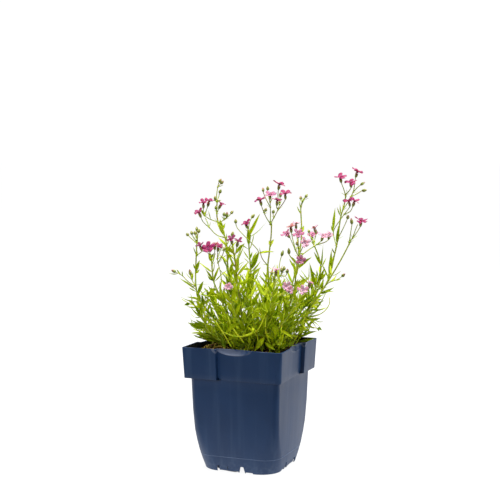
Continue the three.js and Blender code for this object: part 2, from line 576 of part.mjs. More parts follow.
    pairs: [{ from: 16, to: 70, gap: 22, length: 23, width: 3.6 }],
  },
  {
    name: 'spray_pale_cluster',
    stem: [[20, 127, 10], [32, 150, 17], [42, 173, 21], [46.5, 188, 23], [47, 200, 24], [49, 209, 25],
      [50, 216, 26], [50.5, 221, 26]],
    sides: [
      { route: [[50.5, 221], [45, 232, 29], [41, 241, 31]], bloom: 'rose', face: [-0.6, 0.7, 0.5], span: 11 },
      { route: [[47.5, 227], [44, 239, 21], [42.5, 246, 19]], bloom: 'faded',
        face: [-0.1, 1, 0.2], span: 11 },
      { route: [[50.5, 221], [50, 232, 24], [49.5, 241, 23]], bloom: 'rose', face: [0, 0.75, 0.7], span: 13 },
      { route: [[50.4, 226], [48.5, 240, 15], [47.3, 249.5, 13]], bloom: 'pale', face: [0, 1, 0.2], span: 9 },
      { route: [[50.5, 222], [53.5, 229, 31], [55, 233, 33]], bloom: 'pale',
        face: [0.2, 0.45, 0.85], span: 14 },
      { route: [[50.5, 221], [60, 228, 23], [68, 233, 21], [74, 237.5, 20]], bloom: 'pale',
        face: [0.25, 0.9, 0.45], span: 14 },
      { route: [[66, 232], [67, 240, 14], [68.6, 245, 12]], bloom: 'pale', face: [-0.3, 1, 0.1], span: 10 },
      { route: [[69, 233.5], [78, 236, 26], [81.5, 239, 27]], bloom: 'pale',
        face: [0.15, 0.8, 0.6], span: 11 },
      { route: [[49.3, 212], [43, 219, 26], [40, 223.5, 26]], bud: [39.6, 230.5] },
      { route: [[50, 213], [50.8, 214.5, 31]], bloom: 'rose', face: [0.15, 0.5, 0.85], span: 12 },
      { route: [[50.3, 230], [49, 233, 30]], bud: [47.8, 237] },
      { route: [[67, 236], [62, 243, 12], [61, 246, 11]], bud: [60.5, 250] },
    ],
    leaves: [
      [[48.9, 208], [64.5, 222.5], 1.8, 0.4, -1], [[47, 197], [45, 207], 2, 0.6, 0],
      [[46.6, 188], [60, 197], 2.6, 0.6, -1], [[46.8, 190], [50, 198], 2, 0.5, 0],
      [[51, 223], [56.5, 224.5], 1.6, 0.5, 0], [[47.2, 200], [50, 210], 2.4, 0.6, 0],
      [[46, 186], [35, 202], 2, 0.4, 1],
    ],
    pairs: [{ from: 14, to: 62, gap: 22, length: 22, width: 3.6 }],
  },
  {
    name: 'spray_high_right',
    stem: [[25, 127, -3], [45, 150, -5], [62, 168, -6], [73, 182, -7], [79, 191, -7], [82, 198, -7],
      [85, 208, -7], [87.5, 222, -8], [90, 232, -8], [92, 245, -9], [93, 256, -9], [94.5, 265, -9],
      [96.7, 271, -9], [98.5, 279, -9], [99.5, 286, -9]],
    sides: [
      { route: [[99.5, 286], [97.2, 292, -7], [94.6, 298.5, -6]], bloom: 'magenta',
        face: [-0.2, 1, 0.2], span: 13 },
      { route: [[99.5, 286], [102.5, 289.5, -9], [105, 293.5, -8]], bloom: 'magenta',
        face: [-0.15, 1, 0.45], span: 13 },
      { route: [[96.7, 271], [101, 277, -14], [104.5, 284, -16], [107.7, 290, -17], [108.5, 297, -17],
        [109.4, 304, -17]], bloom: 'magenta', face: [0.3, 1, 0.1], span: 12 },
      { route: [[107.3, 289], [111.5, 294, -13], [114.5, 296.2, -12]], bud: [119.5, 299.5] },
      { route: [[104.8, 284.5], [111, 287, -21], [116, 290.3, -22]], bud: [121.5, 291.2] },
      { route: [[90, 232], [87.3, 241, -13], [86, 248.5, -15], [94, 260.5, -2], [103.8, 273.5, 1]],
        bloom: 'magenta', face: [-0.2, 1, 0.2], span: 12 },
      { route: [[98, 266], [104.8, 268.5, 5], [106.5, 273.5, 7]], bloom: 'magenta',
        face: [0.35, 1, 0.2], span: 10 },
      { route: [[91.5, 241], [96, 249, -3], [99.7, 257, -1], [101, 260.5, 0]], bud: [102.4, 265] },
      { route: [[76.5, 187], [81, 193.3, -2], [87, 195.5, 1], [92, 197.3, 2], [95.5, 199.8, 3]],
        bud: [99.3, 203.3] },
    ],
    leaves: [
      [[86.2, 247], [84, 254.5], 1.8, 0.6, 0], [[86, 248], [88.3, 273], 3.2, 0.8, -1],
      [[90.3, 234], [91.8, 254], 3.6, 0.9, 0], [[82.7, 200], [84.6, 228.5], 4, 0.9, 0],
      [[83, 201], [86.5, 222], 3, 0.8, 0], [[87.8, 223], [84.8, 230.5], 1.6, 0.5, 0],
      [[82, 198], [73.5, 216.5], 2.4, 0.6, 0], [[94.3, 264], [90, 273.5], 1.6, 0.5, 0],
      [[94.6, 265], [93.2, 276.5], 1.8, 0.5, 0], [[96.5, 270], [97.6, 276.5], 1.8, 0.5, 0],
      [[88.5, 196], [95, 197], 1.8, 0.5, 0], [[72, 181], [88, 188.8], 3.4, 0.8, -1],
      [[73.5, 183], [76.5, 199], 3, 0.7, 0], [[64, 170], [78, 175], 2.2, 0.5, -1],
    ],
    pairs: [{ from: 16, to: 60, gap: 22, length: 22, width: 3.4 }],
  },
  {
    name: 'spray_inner_right',
    stem: [[22, 127, 16], [42, 150, 13], [58, 170, 11], [67, 184, 10], [70.5, 193, 9], [74.5, 210, 8],
      [72, 219, 8], [67.5, 231, 8], [64.5, 237, 8]],
    sides: [
      { route: [[64.5, 237], [64, 238.5, 8]], bloom: 'rose', face: [0, 0.9, 0.5], span: 13 },
    ],
    leaves: [
      [[68.5, 188], [61.5, 215.5], 3.8, 0.9, 0], [[69, 189], [78, 210.5], 3.6, 0.85, 0],
      [[74.5, 211], [66, 226.5], 2.6, 0.7, 0], [[74.3, 212], [76, 236.5], 2.4, 0.6, -5],
      [[62, 176], [74, 190], 3, 0.7, 0], [[62, 176], [60, 192], 3, 0.7, 0],
      [[56, 167], [66, 184], 3.2, 0.7, 0],
    ],
    pairs: [{ from: 12, to: 56, gap: 22, length: 22, width: 3.6 }],
  },
  {
    name: 'spray_thin_right',
    stem: [[28, 127, 22], [48, 148, 24], [66, 172, 23], [80, 193, 21], [88, 206, 20], [97, 222, 19],
      [104.5, 237, 18]],
    sides: [
      { route: [[104.5, 237], [104.8, 247, 20], [106, 255, 21]], bud: [105, 262] },
      { route: [[104.5, 237], [109, 243, 16], [114.7, 252.5, 14]], bloom: 'magenta',
        face: [0.15, 1, 0.2], span: 13 },
      { route: [[106.5, 240], [109.5, 249, 24], [112, 255, 26]] },
    ],
    leaves: [
      [[104.4, 237], [103.5, 241.5], 1.6, 0.5, 0], [[60, 164], [80.5, 187], 2.2, 0.4, -8],
      [[56, 158], [71, 142.5], 2.4, 0.5, 3], [[52, 153], [75, 143.8], 2.2, 0.4, 5],
      [[50, 150], [62, 152], 2, 0.5, 0], [[62, 167], [73, 175], 2.6, 0.6, 0],
      [[66, 172], [76, 167], 2, 0.5, 2],
    ],
    pairs: [{ from: 12, to: 50, gap: 22, length: 19, width: 3.2 }],
  },
  {
    name: 'spray_lilac_front',
    stem: [[12, 127, 33], [16, 150, 42], [21, 172, 47], [25, 190, 49], [24, 199, 49]],
    sides: [
      { route: [[24, 199], [26.5, 200.5, 49]], bloom: 'pale', face: [0, 1, 0.25], span: 11 },
      { route: [[24.3, 196], [22, 202, 52]], bud: [21.8, 206.5] },
      { route: [[25, 191], [30, 199, 44], [32.6, 204, 43]], bud: [32, 209.5] },
      { route: [[32, 203], [34.5, 206.5, 44]], bud: [35.2, 211.3] },
      { route: [[31, 200.5], [36.5, 200, 40], [37.8, 203.5, 39]], bud: [38.7, 208.5] },
      { route: [[23.5, 182], [30, 196, 37], [29.5, 212, 35], [32, 221.5, 34]], bud: [34, 228] },
      { route: [[21, 172], [31, 180, 52], [36.5, 186, 54]], bloom: 'pale', face: [0.05, 0.6, 0.8], span: 12 },
      { route: [[31, 180], [37, 182, 47], [40, 183, 46]], bloom: 'pale', face: [0.1, 0.6, 0.8], span: 12 },
      { route: [[13.5, 137], [28, 143, 43], [44, 166, 46], [52, 178, 48], [54.5, 181, 48]], bloom: 'pale',
        face: [0.05, 0.7, 0.7], span: 13 },
      { route: [[50, 175], [58, 182, 42], [60.8, 187, 41]], bloom: 'pale', face: [0.2, 1, 0.2], span: 8 },
    ],
    leaves: [
      [[24.2, 198], [11, 198], 2, 0.4, 0.5], [[24.7, 192], [25.5, 214], 1.8, 0.5, 0],
      [[33, 182], [43, 194], 2.4, 0.6, 0], [[23, 182], [16, 196], 3, 0.8, 0],
      [[22, 178], [30, 192], 3, 0.8, 0],
      [[17, 155], [10, 172], 3.8, 0.9, 0], [[17, 154], [27, 170], 3.8, 0.9, 0],
      [[14, 140], [5, 120.6], 5, 0.95, 3], [[14, 140], [26, 128], 3.6, 0.8, 2],
      [[49, 173], [44, 188], 3, 0.8, 0], [[49, 173], [62, 183], 3, 0.7, 0],
      [[40, 160], [34, 178], 3.6, 0.9, 0],
      [[40, 160], [54, 174], 3.4, 0.8, 0], [[31, 147], [50, 156], 3.4, 0.7, 0],
      [[29, 143], [45, 133], 3.6, 0.8, 2],
      [[34, 150], [30, 166], 3.8, 0.9, 0],
    ],
    pairs: [{ from: 12, to: 52, gap: 22, length: 23, width: 4 }],
  },
];

// The short leafy shoots that fill the mound: foot across and toward, then tip across, up and toward
const MOUND = [
  [-18, -8, -40, 178, -14],
  [0, 16, -6, 190, 18],
  [13, 14, 16, 186, 26],
  [18, 6, 36, 184, 0],
  [-8, -22, -20, 184, -44],
  [10, -24, 16, 184, -52],
  [26, -18, 52, 174, -42],
];
const MOUND_RISE = 9;
const MOUND_ROW = { from: 8, to: 62, gap: 11, length: 27, width: 4 };

// How far the leaves of a pair open from the stem, in degrees, and how the next pair is turned
const LEAF_OPEN = [26, 50];
const PAIR_TURN = 90;
const PAIR_STRAY = 18;
const LEAF_TRIES = 6;
const TRY_TURN = 50;
const TRY_SHORTENING = 0.07;

// Depth shifts tried in turn until a piece is clear of its neighbours
const SHIFTS = [0, 3, -3, 6, -6, 9, -9, 12, -12, 16, -16, 20, -20];
const TIP_LEAN = 3;
const RULE_GAP = 0.17;
const SAMPLE_STEP = 1.3;
const KNOT_STEP = 16;
const KNOT_SAMPLES = 5;

// Everything placed so far, as small balls: x, y, z, radius, owner
const taken = [];

function take(balls, owner) {
  for (const ball of balls) taken.push([...ball, owner]);
}

// Whether balls are clear of the pot, the compost and all that others own
function isClear(balls, owner) {
  for (const [x, y, z, r] of balls) {
    const out = Math.max(Math.abs(x), Math.abs(y));
    const ground = out > BODY_HALF - WALL - 1 ? POT_HEIGHT : soilHeight(x, y);
    if (out < RIM_HALF + RIM_CLEAR && z < ground + r + GAP) return false;
    for (const other of taken) {
      if (other[4] === owner) continue;
      const reach = r + other[3];
      const dx = x - other[0];
      const dy = y - other[1];
      const dz = z - other[2];
      if (dx * dx + dy * dy + dz * dz < reach * reach) return false;
    }
  }
  return true;
}

// A point of the smooth curve through points, at a share of one of its spans
function onCurve(points, span, t) {
  const last = points.length - 1;
  const beyond = (end, before) => end.map((value, k) => 2 * value - before[k]);
  const a = span > 0 ? points[span - 1] : beyond(points[0], points[1]);
  const [b, c] = [points[span], points[span + 1]];
  const d = span + 2 <= last ? points[span + 2] : beyond(points[last], points[last - 1]);
  return b.map((_, k) => 0.5 * (2 * b[k] + (c[k] - a[k]) * t
    + (2 * a[k] - 5 * b[k] + 4 * c[k] - d[k]) * t * t
    + (3 * b[k] - a[k] - 3 * c[k] + d[k]) * t * t * t));
}

// A route's knots on the smooth curve through its points, and even samples on the straights between them
function routeOf(points) {
  const bends = [];
  for (let span = 0; span < points.length - 1; span++) {
    const run = Math.hypot(...points[span].map((value, k) => points[span + 1][k] - value));
    const pieces = Math.max(1, Math.round(run / KNOT_STEP));
    for (let i = 0; i < pieces; i++) bends.push(onCurve(points, span, i / pieces));
  }
  bends.push(points[points.length - 1]);
  const seen = [];
  for (let i = 0; i < bends.length - 1; i++) {
    for (let k = 0; k < KNOT_SAMPLES; k++) {
      seen.push(bends[i].map((value, n) => value + ((bends[i + 1][n] - value) * k) / KNOT_SAMPLES));
    }
  }
  seen.push(bends[bends.length - 1]);
  return { seen, places: seen.map((p) => place(...p)), knots: bends.map((p) => place(...p)) };
}

// The balls along a line of places, thick as told
function ballsAlong(places, radius) {
  const balls = [];
  for (let i = 0; i < places.length - 1; i++) {
    const count = Math.max(1, Math.ceil(places[i].distanceTo(places[i + 1]) / SAMPLE_STEP));
    for (let k = 0; k < count; k++) {
      const p = places[i].clone().lerp(places[i + 1], k / count);
      balls.push([p.x, p.y, p.z, radius + RULE_GAP]);
    }
  }
  const end = places[places.length - 1];
  balls.push([end.x, end.y, end.z, radius + RULE_GAP]);
  return balls;
}

// The nearest sample, as seen from the front, of a spray's stems
function nearestOn(spray, across, up) {
  let best = null;
  let least = Infinity;
  for (const line of spray.lines) {
    for (const sample of line.seen.slice(0, -1)) {
      const away = (sample[0] - across) ** 2 + (sample[1] - up) ** 2;
      if (away < least) {
        least = away;
        best = sample;
      }
    }
  }
  return best;
}

// A leaf's middle line is an arc from its root to its tip; its blade is widest below the middle
function leafHalfWidth(width, along) {
  return 0.5 * width * Math.sin(Math.PI * along ** 0.75);
}

function leafMiddle(leaf, along) {
  const back = 1 - along;
  return new THREE.Vector3()
    .addScaledVector(leaf.root, back * back)
    .addScaledVector(leaf.bend, 2 * back * along)
    .addScaledVector(leaf.tip, along * along);
}

function leafBalls(leaf) {
  const count = Math.max(4, Math.ceil(leaf.root.distanceTo(leaf.tip) / SAMPLE_STEP));
  const balls = [];
  for (let i = 1; i <= count; i++) {
    const p = leafMiddle(leaf, i / count);
    const half = Math.max(leafHalfWidth(leaf.width, i / count), LEAF_THICKNESS / 2);
    balls.push([p.x, p.y, p.z, half + RULE_GAP]);
  }
  return balls;
}

function makeLeaf(root, tip, width, side, arch) {
  const bend = root.clone().lerp(tip, 0.5).addScaledVector(upAxis, 2 * arch);
  return { root, tip, bend, width, side: side.clone().normalize() };
}

// Keeps the first leaf that crosses nothing past its root, or else the first that is clear of others
function keepLeaf(spray, leaves) {
  let kept = null;
  for (const leaf of leaves) {
    const balls = leafBalls(leaf);
    if (!isClear(balls, spray.name)) continue;
    kept = kept ?? leaf;
    if (isClear(balls.slice(balls.length / 2), null)) {
      kept = leaf;
      break;
    }
  }
  if (kept) {
    take(leafBalls(kept), spray.name);
    spray.leaves.push(kept);
  }
}

// A leaf seen from the front, its tip moved in depth until it is clear
function traceLeaf(spray, [from, to, width, shown, arch]) {
  const start = nearestOn(spray, from[0], from[1]);
  const root = place(...start);
  const depth = start[2] + draw(-TIP_LEAN, TIP_LEAN);
  keepLeaf(spray, SHIFTS.map((shift) => {
    const tip = place(to[0], to[1], depth + shift);
    const along = tip.clone().sub(root).normalize();
    const flat = along.cross(towardAxis).normalize();
    const side = flat.multiplyScalar(shown).addScaledVector(towardAxis, 1 - shown);
    return makeLeaf(root, tip, width, side, arch);
  }));
}

// One leaf of a pair, turned round its stem until it is clear
function pairLeaf(spray, root, axis, turn, row) {
  const open = THREE.MathUtils.degToRad(draw(...LEAF_OPEN));
  const length = row.length * draw(0.8, 1.2);
  const width = row.width * draw(0.85, 1.1);
  const twist = draw(-0.6, 0.6);
  const flat = axis.clone().cross(towardAxis).normalize();
  const deep = axis.clone().cross(flat);
  keepLeaf(spray, Array.from({ length: LEAF_TRIES }, (_, attempt) => {
    const angle = THREE.MathUtils.degToRad(turn + attempt * TRY_TURN);
    const out = flat.clone().multiplyScalar(Math.cos(angle)).addScaledVector(deep, Math.sin(angle));
    const reach = length * (1 - TRY_SHORTENING * attempt);
    const tip = root.clone()
      .addScaledVector(axis, reach * Math.cos(open))
      .addScaledVector(out, reach * Math.sin(open));
    return makeLeaf(root, tip, width, axis.clone().cross(out).addScaledVector(axis, twist), PAIR_ARCH);
  }));
}

// A row of opposite leaf pairs along a line, turned a quarter from pair to pair
function setPairs(spray, { places }, row) {
  let turn = draw(0, 180);
  let walked = 0;
  let next = row.from;
  for (let i = 1; i < places.length - 1 && next < row.to; i++) {
    walked += places[i].distanceTo(places[i - 1]);
    if (walked < next) continue;
    next += row.gap;
    turn += PAIR_TURN + draw(-PAIR_STRAY, PAIR_STRAY);
    const axis = places[i].clone().sub(places[i - 1]).normalize();
    pairLeaf(spray, places[i], axis, turn, row);
    pairLeaf(spray, places[i], axis, turn + 180, row);
  }
}

function petalHalfWidth(span, along) {
  return span * PETAL_SHARE * Math.min(1, along / 0.8);
}

// A bloom on the end of a stem: the foot of its calyx, the way it faces, and its petals' middle lines
function makeBloom(base, side) {
  const facing = turned(...side.face).normalize();
  const top = base.clone().addScaledVector(facing, CALYX_LENGTH);
  const flat = facing.clone().cross(towardAxis.clone().addScaledVector(upAxis, 0.3)).normalize();
  const deep = facing.clone().cross(flat);
  const petals = side.droops.map((droop, i) => {
    const angle = side.spin + (i * 2 * Math.PI) / side.droops.length;
    const out = flat.clone().multiplyScalar(Math.cos(angle)).addScaledVector(deep, Math.sin(angle));
    return {
      root: top.clone().addScaledVector(facing, EYE_RISE),
      bend: top.clone().addScaledVector(facing, 2.4).addScaledVector(out, side.span * 0.22),
      tip: top.clone().addScaledVector(facing, 2 + droop).addScaledVector(out, side.span / 2),
      side: facing.clone().cross(out).normalize(),
    };
  });
  return { base, top, facing, petals, span: side.span, tint: side.bloom };
}

function petalBalls(bloom) {
  return bloom.petals.flatMap((petal) => [0.45, 0.65, 0.85, 1].map((along) => {
    const p = leafMiddle(petal, along);
    return [p.x, p.y, p.z, petalHalfWidth(bloom.span, along) * 0.8 + RULE_GAP];
  }));
}

// A side stem with what it carries, moved in depth until it is clear
function growSide(spray, side, number) {
  const start = nearestOn(spray, side.route[0][0], side.route[0][1]);
  const flower = { ...side, spin: draw(0, 1.25), droops: [0, 1, 2, 3, 4].map(() => draw(-0.8, 0.9)) };
  const points = side.route.slice(1);
  const name = `${spray.name.replace('spray', 'bloom')}_${number}`;
  for (const shift of SHIFTS) {
    const bent = points.map(([across, up, toward], i) => (
      [across, up, toward + (shift * (i + 1)) / points.length]));
    const line = routeOf([start, ...bent]);
    const end = line.places[line.places.length - 1];
    const balls = ballsAlong(line.places, SIDE_RADIUS);
    const bloom = side.bloom ? makeBloom(end, flower) : null;
    if (bloom) line.head = { top: bloom.top, rings: CALYX_RINGS };
    const depth = line.seen[line.seen.length - 1][2];
    if (side.bud) line.head = { top: place(...side.bud, depth), rings: BUD_RINGS };
    if (line.head) balls.push(...ballsAlong([end, line.head.top], HEAD_RADIUS));
    const petals = bloom ? petalBalls(bloom) : [];
    if (!isClear(balls, spray.name) || !isClear(petals, name)) continue;
    spray.lines.push(line);
    take(balls, spray.name);
    take(petals, name);
    if (bloom) spray.blooms.push({ ...bloom, name });
    return;
  }
}

// A spray begins as its main stem, standing in the compost
function startSpray({ name, stem }) {
  const foot = place(...stem[0]);
  const ground = soilHeight(foot.x, foot.y);
  const main = routeOf([[stem[0][0], stem[0][1] + FOOT_RISE, stem[0][2]], ...stem.slice(1)]);
  take(ballsAlong(main.places, STEM_RADIUS), name);
  const buried = [-FOOT_DEPTH, 1.5].map((up) => new THREE.Vector3(foot.x, foot.y, ground + up));
  return { name, foot, buried, lines: [main], leaves: [], blooms: [] };
}

// A mound shoot rises nearly upright from its foot and then leans to its tip
function moundSource([footAcross, footToward, across, up, toward], i) {
  const lean = (share) => footAcross + (across - footAcross) * share;
  const depth = (share) => footToward + (toward - footToward) * share;
  return {
    name: `mound_shoot_${i + 1}`,
    stem: [
      [footAcross, SOIL_SEEN, footToward],
      [lean(0.15), SOIL_SEEN + MOUND_RISE, depth(0.2)],
      [lean(0.5) + draw(-2, 2), (SOIL_SEEN + MOUND_RISE + up) / 2, depth(0.6)],
      [across, up, toward],
    ],
    sides: [],
    leaves: [],
    pairs: [MOUND_ROW],
  };
}

const sources = [...SPRAYS, ...MOUND.map(moundSource)];
const sprays = sources.map(startSpray);
sources.forEach((source, i) => source.sides.forEach((side, k) => growSide(sprays[i], side, k + 1)));
sources.forEach((source, i) => source.leaves.forEach((leaf) => traceLeaf(sprays[i], leaf)));
sources.forEach((source, i) => source.pairs.forEach((row) => setPairs(sprays[i], sprays[i].lines[0], row)));

// Solids of the plant

// A three-cornered blade, flat above and keeled below, pointed at both ends
function leafSolid(leaf) {
  const rings = leaf.width > NARROW_LEAF ? WIDE_LEAF_RINGS : NARROW_LEAF_RINGS;
  return skin(3, rings.length - 1, (corner, ring) => {
    const along = rings[ring];
    const point = leafMiddle(leaf, along);
    if (along === 0 || along === 1) return point;
    const ahead = leafMiddle(leaf, along + 0.01).sub(point).normalize();
    if (corner === 2) return point.addScaledVector(ahead.cross(leaf.side).normalize(), LEAF_THICKNESS);
    const half = leafHalfWidth(leaf.width, along);
    return point.addScaledVector(leaf.side, corner === 0 ? half : -half);
  });
}

// Five notched petals joined at the eye: one star-shaped plate with its faces split alike
function corollaSolid(bloom) {
  const outline = bloom.petals.flatMap((petal, i) => {
    const next = bloom.petals[(i + 1) % bloom.petals.length];
    const half = petalHalfWidth(bloom.span, 1);
    return [
      leafMiddle(petal, 0.95).addScaledVector(petal.side, -half),
      leafMiddle(petal, 0.92),
      leafMiddle(petal, 0.95).addScaledVector(petal.side, half),
      leafMiddle(petal, 0.2).lerp(leafMiddle(next, 0.2), 0.5),
    ];
  });
  const lift = bloom.facing.clone().multiplyScalar(PETAL_THICKNESS / 2);
  const eye = bloom.top.clone().addScaledVector(bloom.facing, EYE_RISE);
  return skin(outline.length, 3, (corner, ring) => {
    const point = ring === 0 || ring === 3 ? eye.clone() : outline[corner].clone();
    return ring < 2 ? point.sub(lift) : point.add(lift);
  });
}

// A stem of few sides, closed at both ends; a ring is a place on its middle line and a radius there
function stalk(rings, around) {
  const last = rings.length - 1;
  const ahead = rings.map((_, i) => (
    rings[Math.min(i + 1, last)].at.clone().sub(rings[Math.max(i - 1, 0)].at).normalize()));
  const flat = [];
  ahead.forEach((axis, i) => {
    const apart = Math.abs(axis.z) > 0.9 ? acrossAxis : upAxis;
    const guide = i > 0 ? flat[i - 1].clone() : axis.clone().cross(apart);
    flat.push(guide.addScaledVector(axis, -guide.dot(axis)).normalize());
  });
  return skin(around, rings.length + 1, (corner, number) => {
    const i = Math.min(Math.max(number - 1, 0), last);
    const { at, radius } = rings[i];
    if (number !== i + 1) return at.clone();
    const angle = (corner / around) * 2 * Math.PI;
    return at.clone()
      .addScaledVector(flat[i], radius * Math.cos(angle))
      .addScaledVector(ahead[i].clone().cross(flat[i]), radius * Math.sin(angle));
  });
}

function mainStalk({ buried, lines }) {
  return stalk([...buried, ...lines[0].knots].map((at) => ({ at, radius: STEM_RADIUS })), MAIN_SIDES);
}

// A side stem that swells into its bud, or into the calyx under its bloom
function sideStalk({ knots, head }) {
  const rings = knots.map((at) => ({ at, radius: SIDE_RADIUS }));
  const end = knots[knots.length - 1];
  for (const [along, radius] of head ? head.rings : []) {
    rings.push({ at: end.clone().lerp(head.top, along), radius });
  }
  return stalk(rings, SIDE_SIDES);
}

// The outer skin alone, without the slivers and sealed pockets that crossing blades leave
function withoutPockets(shape) {
  const pieces = shape.simplify(SLIVER).decompose();
  return pieces.reduce((skinned, piece) => (piece.volume() > skinned.volume() ? piece : skinned));
}

// A leafy spray: its stems, leaves, buds and the calyces under its blooms
function spraySolid(spray) {
  return withoutPockets(wasm.Manifold.union([
    mainStalk(spray),
    ...spray.lines.slice(1).map(sideStalk),
    ...spray.leaves.map(leafSolid),
  ]));
}

const group = new THREE.Group();
group.add(meshOf('pot', makePot(), POT_COLOUR, 0.38));
group.add(meshOf('soil', makeSoil(sprays.map((spray) => spray.foot)), SOIL_COLOUR, 0.95));
for (const spray of sprays) {
  group.add(meshOf(spray.name, spraySolid(spray), LEAF_COLOUR, 0.55));
  for (const bloom of spray.blooms) {
    group.add(meshOf(bloom.name, corollaSolid(bloom), PETAL_COLOURS[bloom.tint], 0.6));
  }
}

export default group;
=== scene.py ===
# A creeping baby's breath in flower, standing in a square plastic nursery pot filled with compost.
# Blender's metres, +Z up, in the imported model's frame; the measures below are millimetres.
import math

import bpy
import numpy as np
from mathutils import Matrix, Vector, noise


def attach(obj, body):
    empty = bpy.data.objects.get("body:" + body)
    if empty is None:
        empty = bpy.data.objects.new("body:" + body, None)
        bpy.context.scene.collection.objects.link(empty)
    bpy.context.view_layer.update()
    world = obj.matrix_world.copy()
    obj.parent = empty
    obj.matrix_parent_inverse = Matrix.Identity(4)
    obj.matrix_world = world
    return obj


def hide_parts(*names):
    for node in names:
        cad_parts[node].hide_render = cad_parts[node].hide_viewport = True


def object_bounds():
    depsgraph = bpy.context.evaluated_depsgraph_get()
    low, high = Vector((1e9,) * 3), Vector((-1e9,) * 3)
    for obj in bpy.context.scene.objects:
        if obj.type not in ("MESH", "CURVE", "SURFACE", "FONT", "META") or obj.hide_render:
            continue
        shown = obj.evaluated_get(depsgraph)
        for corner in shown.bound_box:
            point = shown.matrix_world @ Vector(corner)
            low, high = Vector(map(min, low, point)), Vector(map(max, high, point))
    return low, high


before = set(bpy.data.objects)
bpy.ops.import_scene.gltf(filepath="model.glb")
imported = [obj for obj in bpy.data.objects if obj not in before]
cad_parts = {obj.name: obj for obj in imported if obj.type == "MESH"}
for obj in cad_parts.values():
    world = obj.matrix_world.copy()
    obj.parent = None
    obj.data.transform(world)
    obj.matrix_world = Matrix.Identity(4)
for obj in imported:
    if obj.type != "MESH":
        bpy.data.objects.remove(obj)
cad_low, cad_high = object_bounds()

# ---------------------------------------------------------------------------------------------
# The pot: an injection-moulded nursery pot of thin dark blue polypropylene. Its drafted body has
# a rounded foot, and its collar is stepped on each side, with a dip pressed into the rim there.
# The skin is drawn row by row from the middle of the floor's underside, out, up and back inside.
# ---------------------------------------------------------------------------------------------
MM = 0.001
POT_HEIGHT, COLLAR_HEIGHT, FLOOR_HEIGHT, WALL = 130, 32.5, 7, 1.4
COLLAR_FOOT = POT_HEIGHT - COLLAR_HEIGHT
# the collar's half width at its proud corners, just behind the step, and at its plain corners
RIM_HALF, RECESS_HALF, PLAIN_HALF = 55, 51, 53.7
# the share of its width that the collar loses with each millimetre down
COLLAR_DRAFT = 1.7 / RIM_HALF / COLLAR_HEIGHT
PROUD_RADIUS, PLAIN_RADIUS, CORNER_STEPS = 1, 5, 5
# heights up the body, its half width there and its corner radius
BODY_HEIGHTS = [0, 3, 10, 20, 31, 43, 64, 97.5]
BODY_HALVES = [41.4, 42.2, 43.8, 45.4, 46.3, 47, 47.9, 49]
BODY_RADII = [21, 21, 19.5, 16.5, 12, 8.2, 6, 5.6]
# stations along one side of the collar, and how far the face lies behind the proud corner's face
SIDE_START, SIDE_END, STEADY_FROM = -54, 48.7, -8
STEP_START, STEP_MIDDLE, STEP_END, STEP_DEPTH = -17.8, -16.9, -16.6, 4
ALONG_PROUD = [-52.6, -46, -38, -30, -23, -18.6]
STEP_EDGE = [(STEP_START, 0), (-17.56, 0.09), (-17.45, 0.35), (-16.95, 3.65), (-16.84, 3.91),
             (STEP_END, STEP_DEPTH)]
ALONG_RECESS = [-16.32, -16.26, *np.linspace(-15.4, 21.6, 36), 24, 30, 37, 44, 47.6]
# the egg-shaped dip in the rim, and the heights at which its lower edge is looked for
DIP_MIDDLE, DIP_OUTSIDE, DIP_START, NO_DIP = -1, 54, -16.3, -1000
DIP_RADII = (20.8, 5.2, 7)
RIM_EDGE = 129.5
CREASE_HEIGHTS = np.linspace(POT_HEIGHT - DIP_RADII[2] - 1, RIM_EDGE - 0.4, 60)
DIP_ROWS = 11
# the seam line round the foot: from, to, how proud it stands and how soft its edges are
SEAM_LOW, SEAM_HIGH, SEAM_PROUD, SEAM_EDGE = 15.9, 16.3, 0.16, 0.2
FOOT_ROUNDING, LEDGE_OVERHANG, CUTTER_CLEAR = 0.25, 1.004, 4

stations = [*ALONG_PROUD, *[x for x, _ in STEP_EDGE], *ALONG_RECESS]
behind = [*[0] * len(ALONG_PROUD), *[back for _, back in STEP_EDGE], *[STEP_DEPTH] * len(ALONG_RECESS)]


def corner_arc(centre_x, centre_y, radius, from_angle):
    """Half of a corner's rounding, from one angle in degrees over the next 45."""
    angles = [math.radians(from_angle + 45 * i / CORNER_STEPS) for i in range(CORNER_STEPS + 1)]
    return [(centre_x + radius * math.cos(a), centre_y + radius * math.sin(a)) for a in angles]


def body_side(height, inwards=0):
    """One side of the body's rounded square at a height, from corner middle to corner middle."""
    half = float(np.interp(height, BODY_HEIGHTS, BODY_HALVES)) - inwards
    radius = float(np.interp(height, BODY_HEIGHTS, BODY_RADII)) - inwards
    flat = half - radius
    straight = np.interp(stations, [SIDE_START, SIDE_END], [-flat, flat])
    plan = [*corner_arc(-flat, -flat, radius, 225), *[(x, -half) for x in straight],
            *corner_arc(flat, -flat, radius, 270)]
    return [(x, y, height) for x, y in plan]


def dip_face(x, z, grow):
    """The dip's egg-shaped face at a place on the collar, or far outside where there is none."""
    if x < DIP_START:
        return NO_DIP
    along, out, up = (radius + grow for radius in DIP_RADII)
    inside = 1 - ((x - DIP_MIDDLE) / along) ** 2 - ((z - POT_HEIGHT) / up) ** 2
    return out * math.sqrt(inside) - DIP_OUTSIDE if inside > 0 else NO_DIP


def drafted(z):
    """The share of the collar's width at the rim that is left at a height."""
    return 1 - COLLAR_DRAFT * (POT_HEIGHT - z)


